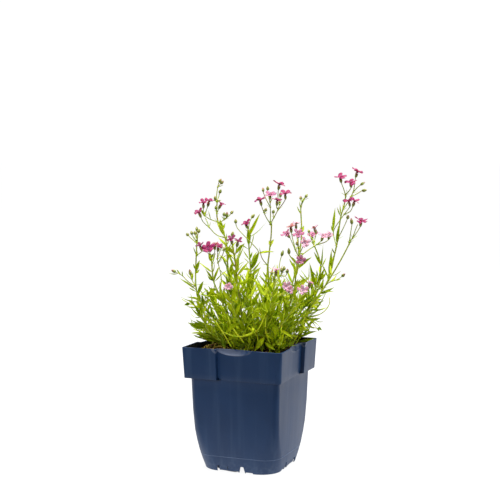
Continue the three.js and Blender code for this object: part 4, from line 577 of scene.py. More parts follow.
# each leafy stem from its foot to its tip; its side stems with the bud or bloom at their end, with
# the way the bloom faces and its span; its leaves with width, how much of the blade faces the eye
# and how far it arches; its rows of leaf pairs: from, to, gap, length, width.
SPRAYS = {
    "spray_far_left": {
        "stem": [
            (-18, 127, 6), (-25, 146, 12), (-36, 153, 15), (-46, 163, 16), (-55, 176, 16),
            (-58, 186, 16), (-58.5, 204, 15), (-57.5, 222, 14), (-57, 232, 13), (-56.5, 240, 12),
        ],
        "sides": [
            ([(-56.5, 240), (-57, 248, 12)], "bud", (-57, 253)),
            ([(-56.5, 240), (-55.5, 246, 15)], "bud", (-54, 250.5)),
            ([(-56.5, 240), (-58.5, 244, 9)], "bud", (-59.2, 248.5)),
            ([(-57, 237), (-60, 240.5, 15), (-61.8, 244, 16)], "bud", (-63, 248.5)),
            ([(-57, 235), (-63, 240.5, 8), (-65.5, 243, 8)], "bud", (-68, 246)),
            ([(-57.5, 222), (-53.5, 225, 17), (-51.3, 226.7, 18)], "dark", (-0.35, 1, 0.2), 9),
            ([(-58.3, 189), (-66, 194, 19), (-73, 202, 21), (-79, 204.5, 22)], "bud", (-84, 207)),
            ([(-58.3, 190), (-61.8, 195, 11), (-63.5, 201, 10)], "bud", (-64.8, 208)),
        ],
        "leaves": [
            ((-58.4, 204), (-54, 217.5), 3.6, 0.9, 1), ((-58.4, 204), (-54, 208), 2.4, 0.6, -1),
            ((-58.2, 206), (-60.8, 213.5), 2, 0.6, 0), ((-57.5, 222), (-61, 231.5), 1.5, 0.6, 1),
            ((-57.5, 222.5), (-56, 227), 1.5, 0.6, 0), ((-62, 191), (-76, 199.5), 2, 0.35, -1.5),
            ((-56, 179), (-50, 195.5), 3.8, 0.9, 1.5), ((-58.5, 191.5), (-42, 191.8), 2, 0.2, 0.5),
            ((-55.5, 178), (-43, 186.5), 2, 0.3, 1), ((-55.5, 175), (-68.5, 178.5), 2.6, 0.6, 0.5),
            ((-55, 173), (-76, 179.5), 2.6, 0.45, -2), ((-58, 184), (-66, 188.5), 2, 0.4, 0),
            ((-52, 171), (-41, 178), 3.4, 0.9, -1), ((-76, 203.7), (-87.5, 204.3), 2, 0.5, -1),
            ((-74, 202.7), (-78.5, 208), 1.8, 0.5, 0), ((-72, 201), (-72.6, 206.5), 1.8, 0.5, 0),
            ((-62, 196), (-69.5, 205), 1.8, 0.4, 0), ((-62, 195.5), (-61, 205), 2, 0.5, 0),
            ((-62.5, 198), (-62.2, 204), 3, 0.9, 0), ((-57.5, 183), (-54, 172), 3, 0.7, 2),
            ((-50, 168), (-52, 182), 3.4, 0.8, 0),
        ],
        "pairs": [(16, 58, 22, 19, 3.4)],
    },
    "spray_low_left": {
        "stem": [
            (-20, 126, 22), (-30, 130, 27), (-40, 136.5, 31), (-47, 144, 33), (-49, 151, 33),
            (-52.5, 158, 32), (-54, 166, 31),
        ],
        "sides": [
            ([(-40, 136.5), (-42, 142, 36), (-40.5, 148, 38)],),
            ([(-34, 133), (-39, 145, 24), (-44, 158, 22), (-46, 166, 21)],),
        ],
        "leaves": [
            ((-47.5, 145), (-67, 151.5), 3.8, 0.85, -2), ((-48, 146.5), (-64, 154), 2.2, 0.4, 0),
            ((-48, 147), (-58.5, 155.5), 2.6, 0.6, 0), ((-52, 156), (-64, 168), 2.6, 0.6, -1),
            ((-53, 158), (-60, 170.5), 3.4, 0.8, 0), ((-53.5, 160), (-52.5, 175), 4, 0.95, 0),
            ((-48.5, 149), (-47, 161), 3.2, 0.8, 0), ((-36, 135), (-58.5, 135.3), 2, 0.35, 0.6),
            ((-33, 133), (-51, 134), 2.4, 0.4, 1.5), ((-48, 148), (-40, 154), 2, 0.5, 0),
            ((-41.5, 141), (-36, 145.5), 2, 0.5, 0), ((-54, 165), (-57, 176), 2.6, 0.6, 0),
            ((-45, 161), (-51, 171), 3.2, 0.7, 0), ((-46, 165), (-42, 172), 3, 0.7, 0),
        ],
        "pairs": [],
    },
    "spray_rosy_left": {
        "stem": [
            (-8, 127, -8), (-14, 150, -12), (-20, 175, -15), (-22, 195, -17), (-25, 215, -19),
            (-24.8, 228, -20), (-26.5, 240, -20), (-29.5, 247, -21), (-33.5, 254, -21),
            (-36, 263, -22), (-35.8, 272, -22), (-35.5, 280, -22),
        ],
        "sides": [
            ([(-35, 258), (-41, 259.5, -20), (-46, 262, -18), (-50, 265.5, -16)],),
            ([(-50, 265.5), (-50, 269, -15), (-50, 271.5, -15)], "magenta", (0.05, 1, 0.25), 10),
            ([(-48, 264), (-47, 269, -20), (-45.5, 273.5, -21)], "magenta", (0.3, 1, 0.1), 11),
            ([(-27, 241), (-36, 243, -28), (-44, 252, -29), (-50.5, 257.5, -27), (-52.4, 262, -25)],
             "magenta", (-0.35, 1, 0.3), 10),
            ([(-44, 252), (-46, 258, -33), (-48, 262, -34)],),
            ([(-35.6, 278), (-37, 280.5, -20)], "bud", (-38, 285)),
            ([(-36, 266), (-34.6, 269, -26), (-34, 271, -27)], "magenta", (0.5, 1, 0.2), 9),
            ([(-36, 268), (-36.4, 270.5, -17)], "bud", (-36.8, 275)),
            ([(-35.5, 280), (-35.6, 290, -23), (-34.5, 295.5, -23), (-33.5, 299, -21)], "bud",
             (-31, 303)),
            ([(-34.8, 294.5), (-32, 297.5, -25)], "bud", (-28.5, 300.8)),
            ([(-35.6, 279), (-33.8, 284, -26), (-33, 287.5, -27)], "bud", (-31.2, 292)),
            ([(-33.5, 255), (-29, 259.5, -17), (-25.5, 262, -15)], "bud", (-25, 268.5)),
            ([(-28, 260), (-28.3, 263.5, -13)], "bud", (-28, 268)),
            ([(-27, 261), (-23.5, 263.5, -18), (-21.2, 266, -18)], "bud", (-18.5, 269.5)),
        ],
        "leaves": [
            ((-30.5, 248.5), (-32.5, 260.5), 4, 0.95, 0), ((-30, 248), (-27, 256.5), 3, 0.8, 0),
            ((-30.5, 248), (-36, 259), 3.4, 0.8, 0), ((-42, 260), (-44.8, 270.5), 1.7, 0.5, 0),
            ((-26, 236), (-25.5, 246), 2, 0.5, 0), ((-24.8, 226), (-21, 235), 2.6, 0.7, 0),
            ((-25, 223), (-26.5, 234), 3.4, 0.9, 0), ((-25, 226), (-38, 229), 1.8, 0.3, 1),
            ((-24.8, 222), (-34, 214), 2, 0.4, 2), ((-22.5, 199), (-27, 216.5), 2.4, 0.6, 0),
            ((-22, 198), (-18.5, 213), 3.4, 0.8, 0), ((-22, 199), (-17.5, 207), 3, 0.8, 0),
            ((-49.8, 265), (-52.5, 271), 2.4, 0.8, 0), ((-49.8, 265), (-47.5, 269), 2, 0.6, 0),
            ((-24.8, 224), (-16, 219), 1.8, 0.4, 1.5), ((-35.5, 279), (-31, 280.5), 1.8, 0.5, 0),
            ((-20.5, 178), (-26.5, 202), 3.8, 0.9, 0), ((-20.8, 180), (-14, 200), 3, 0.8, 0),
        ],
        "pairs": [(14, 62, 22, 24, 3.6)],
    },
    "spray_bright_left": {
        "stem": [
            (-14, 127, 20), (-20, 150, 25), (-29, 170, 28), (-36, 186, 30), (-40, 196, 31),
            (-41, 210, 31), (-41.5, 220, 31), (-43, 224, 31),
        ],
        "sides": [
            ([(-43, 224), (-44.2, 226, 31)], "magenta", (-0.1, 0.75, 0.75), 14),
            ([(-41, 213), (-38.5, 220, 28), (-38, 228, 27)], "faded", (0, 1, 0.3), 8),
            ([(-33, 180), (-31, 195, 24), (-32, 205, 22), (-35.5, 217, 20), (-35, 226, 19)],
             "magenta", (0.15, 1, 0.3), 9),
            ([(-35.6, 219), (-33, 226, 15), (-31.5, 229.5, 14)], "bud", (-31, 234.5)),
            ([(-34.5, 214), (-30, 222, 24), (-28.5, 227, 26)], "bud", (-28.3, 231.5)),
        ],
        "leaves": [
            ((-40, 196), (-48.5, 210), 1.8, 0.5, -1), ((-39.5, 195), (-35, 209.5), 2, 0.6, 0),
            ((-39, 194), (-30, 204.5), 1.6, 0.35, -1), ((-41.5, 220), (-46, 226), 1.8, 0.5, 0),
            ((-41.5, 219), (-39, 225), 2.4, 0.7, 0), ((-31.5, 202), (-25, 207), 1.6, 0.4, 0),
            ((-36, 186), (-43.5, 187), 3, 0.8, 0), ((-31, 174), (-33, 196), 3.4, 0.8, 0),
            ((-30, 172), (-42.5, 186), 3.4, 0.8, 0), ((-29, 170), (-28.5, 189), 3.8, 0.9, 0),
        ],
        "pairs": [(12, 50, 22, 23, 3.6)],
    },
    "spray_red_stemmed": {
        "stem": [
            (-4, 127, 30), (-8, 150, 35), (-12, 175, 38), (-15, 200, 39), (-16.5, 215, 39),
            (-18, 226, 39), (-19.3, 231.5, 39),
        ],
        "sides": [
            ([(-19.3, 231.5), (-19.6, 233.5, 39)], "dark", (-0.15, 1, 0.3), 10),
            ([(-17, 221), (-15.5, 227, 43), (-15, 231, 44)], "dark", (0.25, 1, 0.1), 9),
            ([(-18.5, 228), (-20.5, 236, 33), (-20, 242, 31)], "bud", (-18.6, 248)),
            ([(-7, 141), (-14, 152, 42), (-20, 170, 48), (-24, 184, 50), (-24, 186, 50)], "pale",
             (0, 0.55, 0.85), 12),
        ],
        "leaves": [
            ((-21.5, 172), (-31, 186), 3.6, 0.9, 0), ((-21.5, 172), (-16, 187), 3.2, 0.8, 0),
            ((-17, 160), (-27, 176), 3.8, 0.9, 0), ((-17, 160), (-10, 174), 3.8, 0.9, 0),
            ((-14, 150), (-28, 137), 4.6, 0.95, 3), ((-8, 143), (-27.5, 126), 4.8, 0.95, 4),
            ((-16, 218), (-25, 226.5), 1.5, 0.4, 0), ((-16, 216), (-7, 236.5), 1.8, 0.5, 0),
            ((-15.5, 212), (-6.5, 234), 2, 0.6, 0), ((-14.5, 202), (-12.5, 221), 3.8, 0.9, 0),
            ((-14.5, 201), (-2, 216.5), 3, 0.7, 0), ((-13, 190), (-20, 212), 3, 0.8, 0),
            ((-14, 197), (-5, 203.5), 1.6, 0.4, 0), ((-12, 180), (-5, 196), 3.2, 0.8, 0),
            ((-11.5, 176), (-19, 193), 3.4, 0.8, 0),
        ],
        "pairs": [(12, 56, 22, 25, 3.8)],
    },
    "spray_tall_leaves": {
        "stem": [
            (2, 127, -25), (2, 150, -28), (0, 175, -30), (0, 205, -31), (-1, 217, -31),
            (-2, 228, -31), (-2.5, 240, -31), (-2, 248, -31),
        ],
        "sides": [
            ([(-2, 248), (-3.6, 250.5, -30)], "magenta", (-0.35, 1, 0.3), 10),
            ([(-2, 248), (-2, 256, -33), (0.4, 261.5, -34)], "bud", (4, 266)),
            ([(-0.5, 210), (5, 222, -24), (9, 226, -22), (3, 233, -18), (-9, 245, -15),
              (-15, 251.5, -14), (-16, 256, -14)], "bud", (-16, 260.8)),
        ],
        "leaves": [
            ((-2.3, 232), (-3.4, 251), 4, 0.9, 0), ((-2.3, 233), (-0.4, 252), 3.4, 0.8, 0),
            ((-2.4, 241), (9.6, 266.5), 3.4, 0.85, 1), ((-2.4, 242), (16.5, 258.5), 2, 0.4, -3),
            ((-0.4, 207), (9, 226), 4.6, 0.95, 0), ((-0.5, 208), (-10, 207), 3.6, 0.7, 1),
            ((-1, 216), (-9, 229), 2, 0.5, 0), ((0, 190), (4, 207), 3, 0.8, 0),
            ((0, 188), (-4, 204), 3, 0.7, 0),
        ],
        "pairs": [(14, 64, 22, 24, 3.8)],
    },
    "spray_rosy_middle": {
        "stem": [
            (8, 127, -5), (12, 150, -10), (17, 175, -13), (19, 190, -14), (18.5, 200, -14),
            (17.5, 212, -14), (19, 222, -14), (20, 233, -14), (21.5, 245, -14), (21.5, 256, -14),
        ],
        "sides": [
            ([(21.5, 256), (16, 262, -10), (13, 269, -8), (11, 274.5, -7)], "magenta",
             (-0.2, 1, 0.15), 12),
            ([(14, 267), (15, 268.5, -5)], "bud", (16, 272.5)),
            ([(21.5, 256), (20.5, 268, -18), (20, 281, -19)], "rose", (0, 1, 0.5), 14),
            ([(20.3, 274), (15, 283, -24), (12.8, 289, -24)], "bud", (12.5, 294)),
            ([(20.2, 278), (18, 286, -27), (17.6, 290.5, -28)], "bud", (17.6, 295.5)),
            ([(21.5, 256), (25, 264, -12), (28.5, 270.5, -11), (33, 276, -10), (36, 281, -9)],
             "magenta", (0, 1, 0.3), 12),
            ([(28.5, 270.5), (26.7, 272.5, -6), (27, 274.3, -5)], "magenta", (0.1, 1, 0.15), 10),
            ([(28.5, 270.5), (30.5, 278, -15), (30.5, 283.5, -16)], "bud", (31.2, 289)),
            ([(30.5, 276), (28, 284, -21), (28.6, 291, -23)], "magenta", (0.2, 1, 0.2), 13),
            ([(24.5, 263), (23, 266.5, -17)], "bud", (24, 270.5)),
            ([(17.5, 212), (12, 218, -9), (9.8, 225, -7)],),
        ],
        "leaves": [
            ((9.8, 225), (9, 231.5), 1.6, 0.5, 0), ((10, 224.5), (24.8, 224), 2.2, 0.35, 3),
            ((20, 232), (19, 238.5), 2.4, 0.7, 0), ((20.2, 233), (24, 239.5), 3, 0.8, 0),
            ((20, 230), (22.5, 236), 2.2, 0.6, 0), ((17.6, 210), (24, 205), 1.6, 0.4, 1),
            ((18.8, 196), (12, 206), 2.6, 0.7, 0), ((18.8, 195), (25.5, 214), 2.4, 0.6, 0),
        ],
        "pairs": [(14, 60, 22, 22, 3.6)],
    },
    "spray_tall_buds": {
        "stem": [
            (14, 127, -28), (28, 150, -34), (40, 180, -38), (48, 210, -40), (52.5, 232, -41),
            (53.5, 250, -42), (52.5, 264, -42), (52, 273, -42), (54, 279, -42), (56, 282, -42),
        ],
        "sides": [
            ([(54, 279), (52.2, 281, -45)], "bud", (52, 285)),
            ([(56, 282), (57, 283, -42)], "bud", (59.3, 287)),
        ],
        "leaves": [
            ((53.3, 246), (55.6, 254), 3, 0.9, 0), ((53.3, 246), (51.5, 253), 2.4, 0.6, 0),
            ((52.4, 266), (48, 274.5), 1.8, 0.5, 0), ((52, 271), (51, 280), 1.6, 0.5, 0),
            ((52.7, 275), (56, 283.5), 2, 0.6, 0), ((47, 206), (40, 219), 2.6, 0.5, 0),
            ((46, 203), (45, 216), 3, 0.6, 0),
        ],
        "pairs": [(16, 70, 22, 23, 3.6)],
    },
    "spray_pale_cluster": {
        "stem": [
            (20, 127, 10), (32, 150, 17), (42, 173, 21), (46.5, 188, 23), (47, 200, 24),
            (49, 209, 25), (50, 216, 26), (50.5, 221, 26),
        ],
        "sides": [
            ([(50.5, 221), (45, 232, 29), (41, 241, 31)], "rose", (-0.6, 0.7, 0.5), 11),
            ([(47.5, 227), (44, 239, 21), (42.5, 246, 19)], "faded", (-0.1, 1, 0.2), 11),
            ([(50.5, 221), (50, 232, 24), (49.5, 241, 23)], "rose", (0, 0.75, 0.7), 13),
            ([(50.4, 226), (48.5, 240, 15), (47.3, 249.5, 13)], "pale", (0, 1, 0.2), 9),
            ([(50.5, 222), (53.5, 229, 31), (55, 233, 33)], "pale", (0.2, 0.45, 0.85), 14),
            ([(50.5, 221), (60, 228, 23), (68, 233, 21), (74, 237.5, 20)], "pale",
             (0.25, 0.9, 0.45), 14),
            ([(66, 232), (67, 240, 14), (68.6, 245, 12)], "pale", (-0.3, 1, 0.1), 10),
            ([(69, 233.5), (78, 236, 26), (81.5, 239, 27)], "pale", (0.15, 0.8, 0.6), 11),
            ([(49.3, 212), (43, 219, 26), (40, 223.5, 26)], "bud", (39.6, 230.5)),
            ([(50, 213), (50.8, 214.5, 31)], "rose", (0.15, 0.5, 0.85), 12),
            ([(50.3, 230), (49, 233, 30)], "bud", (47.8, 237)),
            ([(67, 236), (62, 243, 12), (61, 246, 11)], "bud", (60.5, 250)),
        ],
        "leaves": [
            ((48.9, 208), (64.5, 222.5), 1.8, 0.4, -1), ((47, 197), (45, 207), 2, 0.6, 0),
            ((46.6, 188), (60, 197), 2.6, 0.6, -1), ((46.8, 190), (50, 198), 2, 0.5, 0),
            ((51, 223), (56.5, 224.5), 1.6, 0.5, 0), ((47.2, 200), (50, 210), 2.4, 0.6, 0),
            ((46, 186), (35, 202), 2, 0.4, 1),
        ],
        "pairs": [(14, 62, 22, 22, 3.6)],
    },
    "spray_high_right": {
        "stem": [
            (25, 127, -3), (45, 150, -5), (62, 168, -6), (73, 182, -7), (79, 191, -7),
            (82, 198, -7), (85, 208, -7), (87.5, 222, -8), (90, 232, -8), (92, 245, -9),
            (93, 256, -9), (94.5, 265, -9), (96.7, 271, -9), (98.5, 279, -9), (99.5, 286, -9),
        ],
        "sides": [
            ([(99.5, 286), (97.2, 292, -7), (94.6, 298.5, -6)], "magenta", (-0.2, 1, 0.2), 13),
            ([(99.5, 286), (102.5, 289.5, -9), (105, 293.5, -8)], "magenta", (-0.15, 1, 0.45), 13),
            ([(96.7, 271), (101, 277, -14), (104.5, 284, -16), (107.7, 290, -17), (108.5, 297, -17),
              (109.4, 304, -17)], "magenta", (0.3, 1, 0.1), 12),
            ([(107.3, 289), (111.5, 294, -13), (114.5, 296.2, -12)], "bud", (119.5, 299.5)),
            ([(104.8, 284.5), (111, 287, -21), (116, 290.3, -22)], "bud", (121.5, 291.2)),
            ([(90, 232), (87.3, 241, -13), (86, 248.5, -15), (94, 260.5, -2), (103.8, 273.5, 1)],
             "magenta", (-0.2, 1, 0.2), 12),
            ([(98, 266), (104.8, 268.5, 5), (106.5, 273.5, 7)], "magenta", (0.35, 1, 0.2), 10),
            ([(91.5, 241), (96, 249, -3), (99.7, 257, -1), (101, 260.5, 0)], "bud", (102.4, 265)),
            ([(76.5, 187), (81, 193.3, -2), (87, 195.5, 1), (92, 197.3, 2), (95.5, 199.8, 3)],
             "bud", (99.3, 203.3)),
        ],
        "leaves": [
            ((86.2, 247), (84, 254.5), 1.8, 0.6, 0), ((86, 248), (88.3, 273), 3.2, 0.8, -1),
            ((90.3, 234), (91.8, 254), 3.6, 0.9, 0), ((82.7, 200), (84.6, 228.5), 4, 0.9, 0),
            ((83, 201), (86.5, 222), 3, 0.8, 0), ((87.8, 223), (84.8, 230.5), 1.6, 0.5, 0),
            ((82, 198), (73.5, 216.5), 2.4, 0.6, 0), ((94.3, 264), (90, 273.5), 1.6, 0.5, 0),
            ((94.6, 265), (93.2, 276.5), 1.8, 0.5, 0), ((96.5, 270), (97.6, 276.5), 1.8, 0.5, 0),
            ((88.5, 196), (95, 197), 1.8, 0.5, 0), ((72, 181), (88, 188.8), 3.4, 0.8, -1),
            ((73.5, 183), (76.5, 199), 3, 0.7, 0), ((64, 170), (78, 175), 2.2, 0.5, -1),
        ],
        "pairs": [(16, 60, 22, 22, 3.4)],
    },
    "spray_inner_right": {
        "stem": [
            (22, 127, 16), (42, 150, 13), (58, 170, 11), (67, 184, 10), (70.5, 193, 9),
            (74.5, 210, 8), (72, 219, 8), (67.5, 231, 8), (64.5, 237, 8),
        ],
        "sides": [
            ([(64.5, 237), (64, 238.5, 8)], "rose", (0, 0.9, 0.5), 13),
        ],
        "leaves": [
            ((68.5, 188), (61.5, 215.5), 3.8, 0.9, 0), ((69, 189), (78, 210.5), 3.6, 0.85, 0),
            ((74.5, 211), (66, 226.5), 2.6, 0.7, 0), ((74.3, 212), (76, 236.5), 2.4, 0.6, -5),
            ((62, 176), (74, 190), 3, 0.7, 0), ((62, 176), (60, 192), 3, 0.7, 0),
            ((56, 167), (66, 184), 3.2, 0.7, 0),
        ],
        "pairs": [(12, 56, 22, 22, 3.6)],
    },
    "spray_thin_right": {
        "stem": [
            (28, 127, 22), (48, 148, 24), (66, 172, 23), (80, 193, 21), (88, 206, 20),
            (97, 222, 19), (104.5, 237, 18),
        ],
        "sides": [
            ([(104.5, 237), (104.8, 247, 20), (106, 255, 21)], "bud", (105, 262)),
            ([(104.5, 237), (109, 243, 16), (114.7, 252.5, 14)], "magenta", (0.15, 1, 0.2), 13),
            ([(106.5, 240), (109.5, 249, 24), (112, 255, 26)],),
        ],
        "leaves": [
            ((104.4, 237), (103.5, 241.5), 1.6, 0.5, 0), ((60, 164), (80.5, 187), 2.2, 0.4, -8),
            ((56, 158), (71, 142.5), 2.4, 0.5, 3), ((52, 153), (75, 143.8), 2.2, 0.4, 5),
            ((50, 150), (62, 152), 2, 0.5, 0), ((62, 167), (73, 175), 2.6, 0.6, 0),
            ((66, 172), (76, 167), 2, 0.5, 2),
        ],
        "pairs": [(12, 50, 22, 19, 3.2)],
    },
    "spray_lilac_front": {
        "stem": [
            (12, 127, 33), (16, 150, 42), (21, 172, 47), (25, 190, 49), (24, 199, 49),
        ],
        "sides": [
            ([(24, 199), (26.5, 200.5, 49)], "pale", (0, 1, 0.25), 11),
            ([(24.3, 196), (22, 202, 52)], "bud", (21.8, 206.5)),
            ([(25, 191), (30, 199, 44), (32.6, 204, 43)], "bud", (32, 209.5)),
            ([(32, 203), (34.5, 206.5, 44)], "bud", (35.2, 211.3)),
            ([(31, 200.5), (36.5, 200, 40), (37.8, 203.5, 39)], "bud", (38.7, 208.5)),
            ([(23.5, 182), (30, 196, 37), (29.5, 212, 35), (32, 221.5, 34)], "bud", (34, 228)),
            ([(21, 172), (31, 180, 52), (36.5, 186, 54)], "pale", (0.05, 0.6, 0.8), 12),
            ([(31, 180), (37, 182, 47), (40, 183, 46)], "pale", (0.1, 0.6, 0.8), 12),
            ([(13.5, 137), (28, 143, 43), (44, 166, 46), (52, 178, 48), (54.5, 181, 48)], "pale",
             (0.05, 0.7, 0.7), 13),
            ([(50, 175), (58, 182, 42), (60.8, 187, 41)], "pale", (0.2, 1, 0.2), 8),
        ],
        "leaves": [
            ((24.2, 198), (11, 198), 2, 0.4, 0.5), ((24.7, 192), (25.5, 214), 1.8, 0.5, 0),
            ((33, 182), (43, 194), 2.4, 0.6, 0), ((23, 182), (16, 196), 3, 0.8, 0),
            ((22, 178), (30, 192), 3, 0.8, 0), ((17, 155), (10, 172), 3.8, 0.9, 0),
            ((17, 154), (27, 170), 3.8, 0.9, 0), ((14, 140), (5, 120.6), 5, 0.95, 3),
            ((14, 140), (26, 128), 3.6, 0.8, 2), ((49, 173), (44, 188), 3, 0.8, 0),
            ((49, 173), (62, 183), 3, 0.7, 0), ((40, 160), (34, 178), 3.6, 0.9, 0),
            ((40, 160), (54, 174), 3.4, 0.8, 0), ((31, 147), (50, 156), 3.4, 0.7, 0),
            ((29, 143), (45, 133), 3.6, 0.8, 2), ((34, 150), (30, 166), 3.8, 0.9, 0),
        ],
        "pairs": [(12, 52, 22, 23, 4)],
    },
}

# the short leafy shoots of the mound: foot across and toward, then tip across, up and toward
MOUND = [
    (-18, -8, -40, 178, -14), (0, 16, -6, 190, 18), (13, 14, 16, 186, 26), (18, 6, 36, 184, 0),
    (-8, -22, -20, 184, -44), (10, -24, 16, 184, -52), (26, -18, 52, 174, -42),
]
MOUND_FOOT, MOUND_RISE, MOUND_SWAY = 127, 9, 2
# how far across and toward the tip their first and second bends lie, and their row of leaf pairs
FIRST_BEND, SECOND_BEND, MOUND_ROW = (0.15, 0.2), (0.5, 0.6), (8, 62, 11, 27, 4)

seed = 20601


def draw(low, high):
    """The next of the rule's repeatable draws."""
    global seed
    seed = (seed * 1664525 + 1013904223) % 4294967296
    return low + (high - low) * seed / 4294967296


def unit(vector):
    return vector / math.sqrt(vector @ vector)


def place(across, up, toward):
    """The place seen at (across, up) on the plane through the pot's axis, at another depth."""
    nearness = (EYE_AWAY - toward) / EYE_AWAY
    across = EYE_ACROSS + (across - EYE_ACROSS) * nearness
    return ACROSS * across + UP * (EYE_UP + (up - EYE_UP) * nearness) + TOWARD * toward


taken = np.zeros((MOST_BALLS, 4))
owners = np.zeros(MOST_BALLS, int)
taken_count = 0


def take(balls, owner):
    """Notes the room that a piece holds, as balls."""
    global taken_count
    taken[taken_count:taken_count + len(balls)] = balls
    owners[taken_count:taken_count + len(balls)] = owner
    taken_count += len(balls)


def is_clear(balls, owner):
    """Whether balls are clear of the pot, the compost and all that other pieces hold."""
    x, y, z, r = balls.T
    out = np.maximum(abs(x), abs(y))
    ground = np.where(out > BODY_HALVES[-1] - WALL - 1, POT_HEIGHT, soil_height(x, y))
    if np.any((out < RIM_HALF + RIM_CLEAR) & (z < ground + r + GAP)):
        return False
    low, high = balls[:, :3].min(0) - NEAR_BY, balls[:, :3].max(0) + NEAR_BY
    held = taken[:taken_count]
    near = np.all((held[:, :3] > low) & (held[:, :3] < high), axis=1)
    others = held[near & (owners[:taken_count] != owner)]
    apart = ((balls[:, None, :3] - others[None, :, :3]) ** 2).sum(2)
    return not np.any(apart < (r[:, None] + others[None, :, 3]) ** 2)


def on_curve(points, span, t):
    """A point of the smooth curve through points, at a share of one of its spans."""
    b, c = points[span], points[span + 1]
    a = points[span - 1] if span > 0 else 2 * b - c
    d = points[span + 2] if span + 2 < len(points) else 2 * c - b
    return 0.5 * (2 * b + (c - a) * t + (2 * a - 5 * b + 4 * c - d) * t * t
                  + (3 * b - a - 3 * c + d) * t * t * t)


def route_of(points):
    """A route's knots on the smooth curve through its points, and samples on the straights between."""
    points = np.array(points, float)
    bends = []
    for span in range(len(points) - 1):
        pieces = max(1, math.floor(math.dist(points[span], points[span + 1]) / KNOT_STEP + 0.5))
        bends += [on_curve(points, span, i / pieces) for i in range(pieces)]
    bends.append(points[-1])
    seen = []
    for here, following in zip(bends, bends[1:]):
        seen += [here + (following - here) * k / KNOT_SAMPLES for k in range(KNOT_SAMPLES)]
    seen.append(bends[-1])
    return {"seen": np.array(seen), "places": np.array([place(*p) for p in seen]),
            "knots": np.array([place(*p) for p in bends])}


def balls_along(places, radius):
    """The room that a stem holds, as balls set closely along it."""
    balls = []
    for here, following in zip(places, places[1:]):
        count = max(1, math.ceil(math.dist(here, following) / SAMPLE_STEP))
        balls += [[*(here + (following - here) * k / count), radius + RULE_GAP] for k in range(count)]
    balls.append([*places[-1], radius + RULE_GAP])
    return np.array(balls)


def nearest_on(spray, across, up):
    """The sample of a spray's stems that is seen nearest to a place."""
    samples = np.vstack([line["seen"][:-1] for line in spray["lines"]])
    return samples[np.argmin((samples[:, 0] - across) ** 2 + (samples[:, 1] - up) ** 2)]


def leaf_half_width(width, along):
    return 0.5 * width * np.sin(np.pi * along ** LEAF_FULLNESS)


def arc(curve, along):
    """Points of a quadratic arc from its root over its bend to its tip."""
    along = np.asarray(along, float)[..., None]
    back = 1 - along
    return curve["root"] * back * back + curve["bend"] * 2 * back * along + curve["tip"] * along * along


def leaf_balls(leaf):
    count = max(4, math.ceil(math.dist(leaf["root"], leaf["tip"]) / SAMPLE_STEP))
    along = np.arange(1, count + 1) / count
    half = np.maximum(leaf_half_width(leaf["width"], along), LEAF_THICKNESS / 2)
    return np.column_stack((arc(leaf, along), half + RULE_GAP))


def make_leaf(root, tip, width, side, arch):
    bend = (root + tip) / 2 + UP * 2 * arch
    return {"root": root, "tip": tip, "bend": bend, "width": width, "side": unit(side)}


def keep_leaf(spray, leaves):
    """Keeps the first leaf that crosses nothing past its root, or else the first clear of others."""
    kept = None
    for leaf in leaves:
        balls = leaf_balls(leaf)
        if not is_clear(balls, spray["number"]):
            continue
        kept = kept or leaf
        if is_clear(balls[len(balls) // 2:], -1):
            kept = leaf
            break
    if kept:
        take(leaf_balls(kept), spray["number"])
        spray["leaves"].append(kept)


def trace_leaf(spray, start_seen, end_seen, width, shown, arch):
    """A leaf seen from the front, its tip moved in depth until it is clear."""
    start = nearest_on(spray, *start_seen)
    root = place(*start)
    depth = start[2] + draw(-TIP_SWAY, TIP_SWAY)
    leaves = []
    for shift in SHIFTS:
        tip = place(*end_seen, depth + shift)
        side = unit(np.cross(unit(tip - root), TOWARD)) * shown + TOWARD * (1 - shown)
        leaves.append(make_leaf(root, tip, width, side, arch))
    keep_leaf(spray, leaves)


def pair_leaf(spray, root, axis, turn, row_length, row_width):
    """One leaf of a pair, turned round its stem until it is clear."""
    spread = math.radians(draw(*PAIR_OPENING))
    length = row_length * draw(*PAIR_LENGTHS)
    width = row_width * draw(*PAIR_WIDTHS)
    twist = draw(-PAIR_TWIST, PAIR_TWIST)
    flat = unit(np.cross(axis, TOWARD))
    deep = np.cross(axis, flat)
    leaves = []
    for attempt in range(LEAF_TRIES):
        angle = math.radians(turn + attempt * TRY_TURN)
        out = flat * math.cos(angle) + deep * math.sin(angle)
        reach = length * (1 - TRY_SHORTENING * attempt)
        tip = root + axis * reach * math.cos(spread) + out * reach * math.sin(spread)
        leaves.append(make_leaf(root, tip, width, np.cross(axis, out) + axis * twist, PAIR_ARCH))
    keep_leaf(spray, leaves)


def set_pairs(spray, places, begin, end, gap, length, width):
    """A row of opposite leaf pairs along a line, turned a quarter from pair to pair."""
    turn, walked, following = draw(0, 180), 0, begin
    for i in range(1, len(places) - 1):
        if following >= end:
            break
        walked += math.dist(places[i], places[i - 1])
        if walked < following:
            continue
        following += gap
        turn += 90 + draw(-PAIR_SWAY, PAIR_SWAY)
        axis = unit(places[i] - places[i - 1])
        for half_turn in (0, 180):
            pair_leaf(spray, places[i], axis, turn + half_turn, length, width)


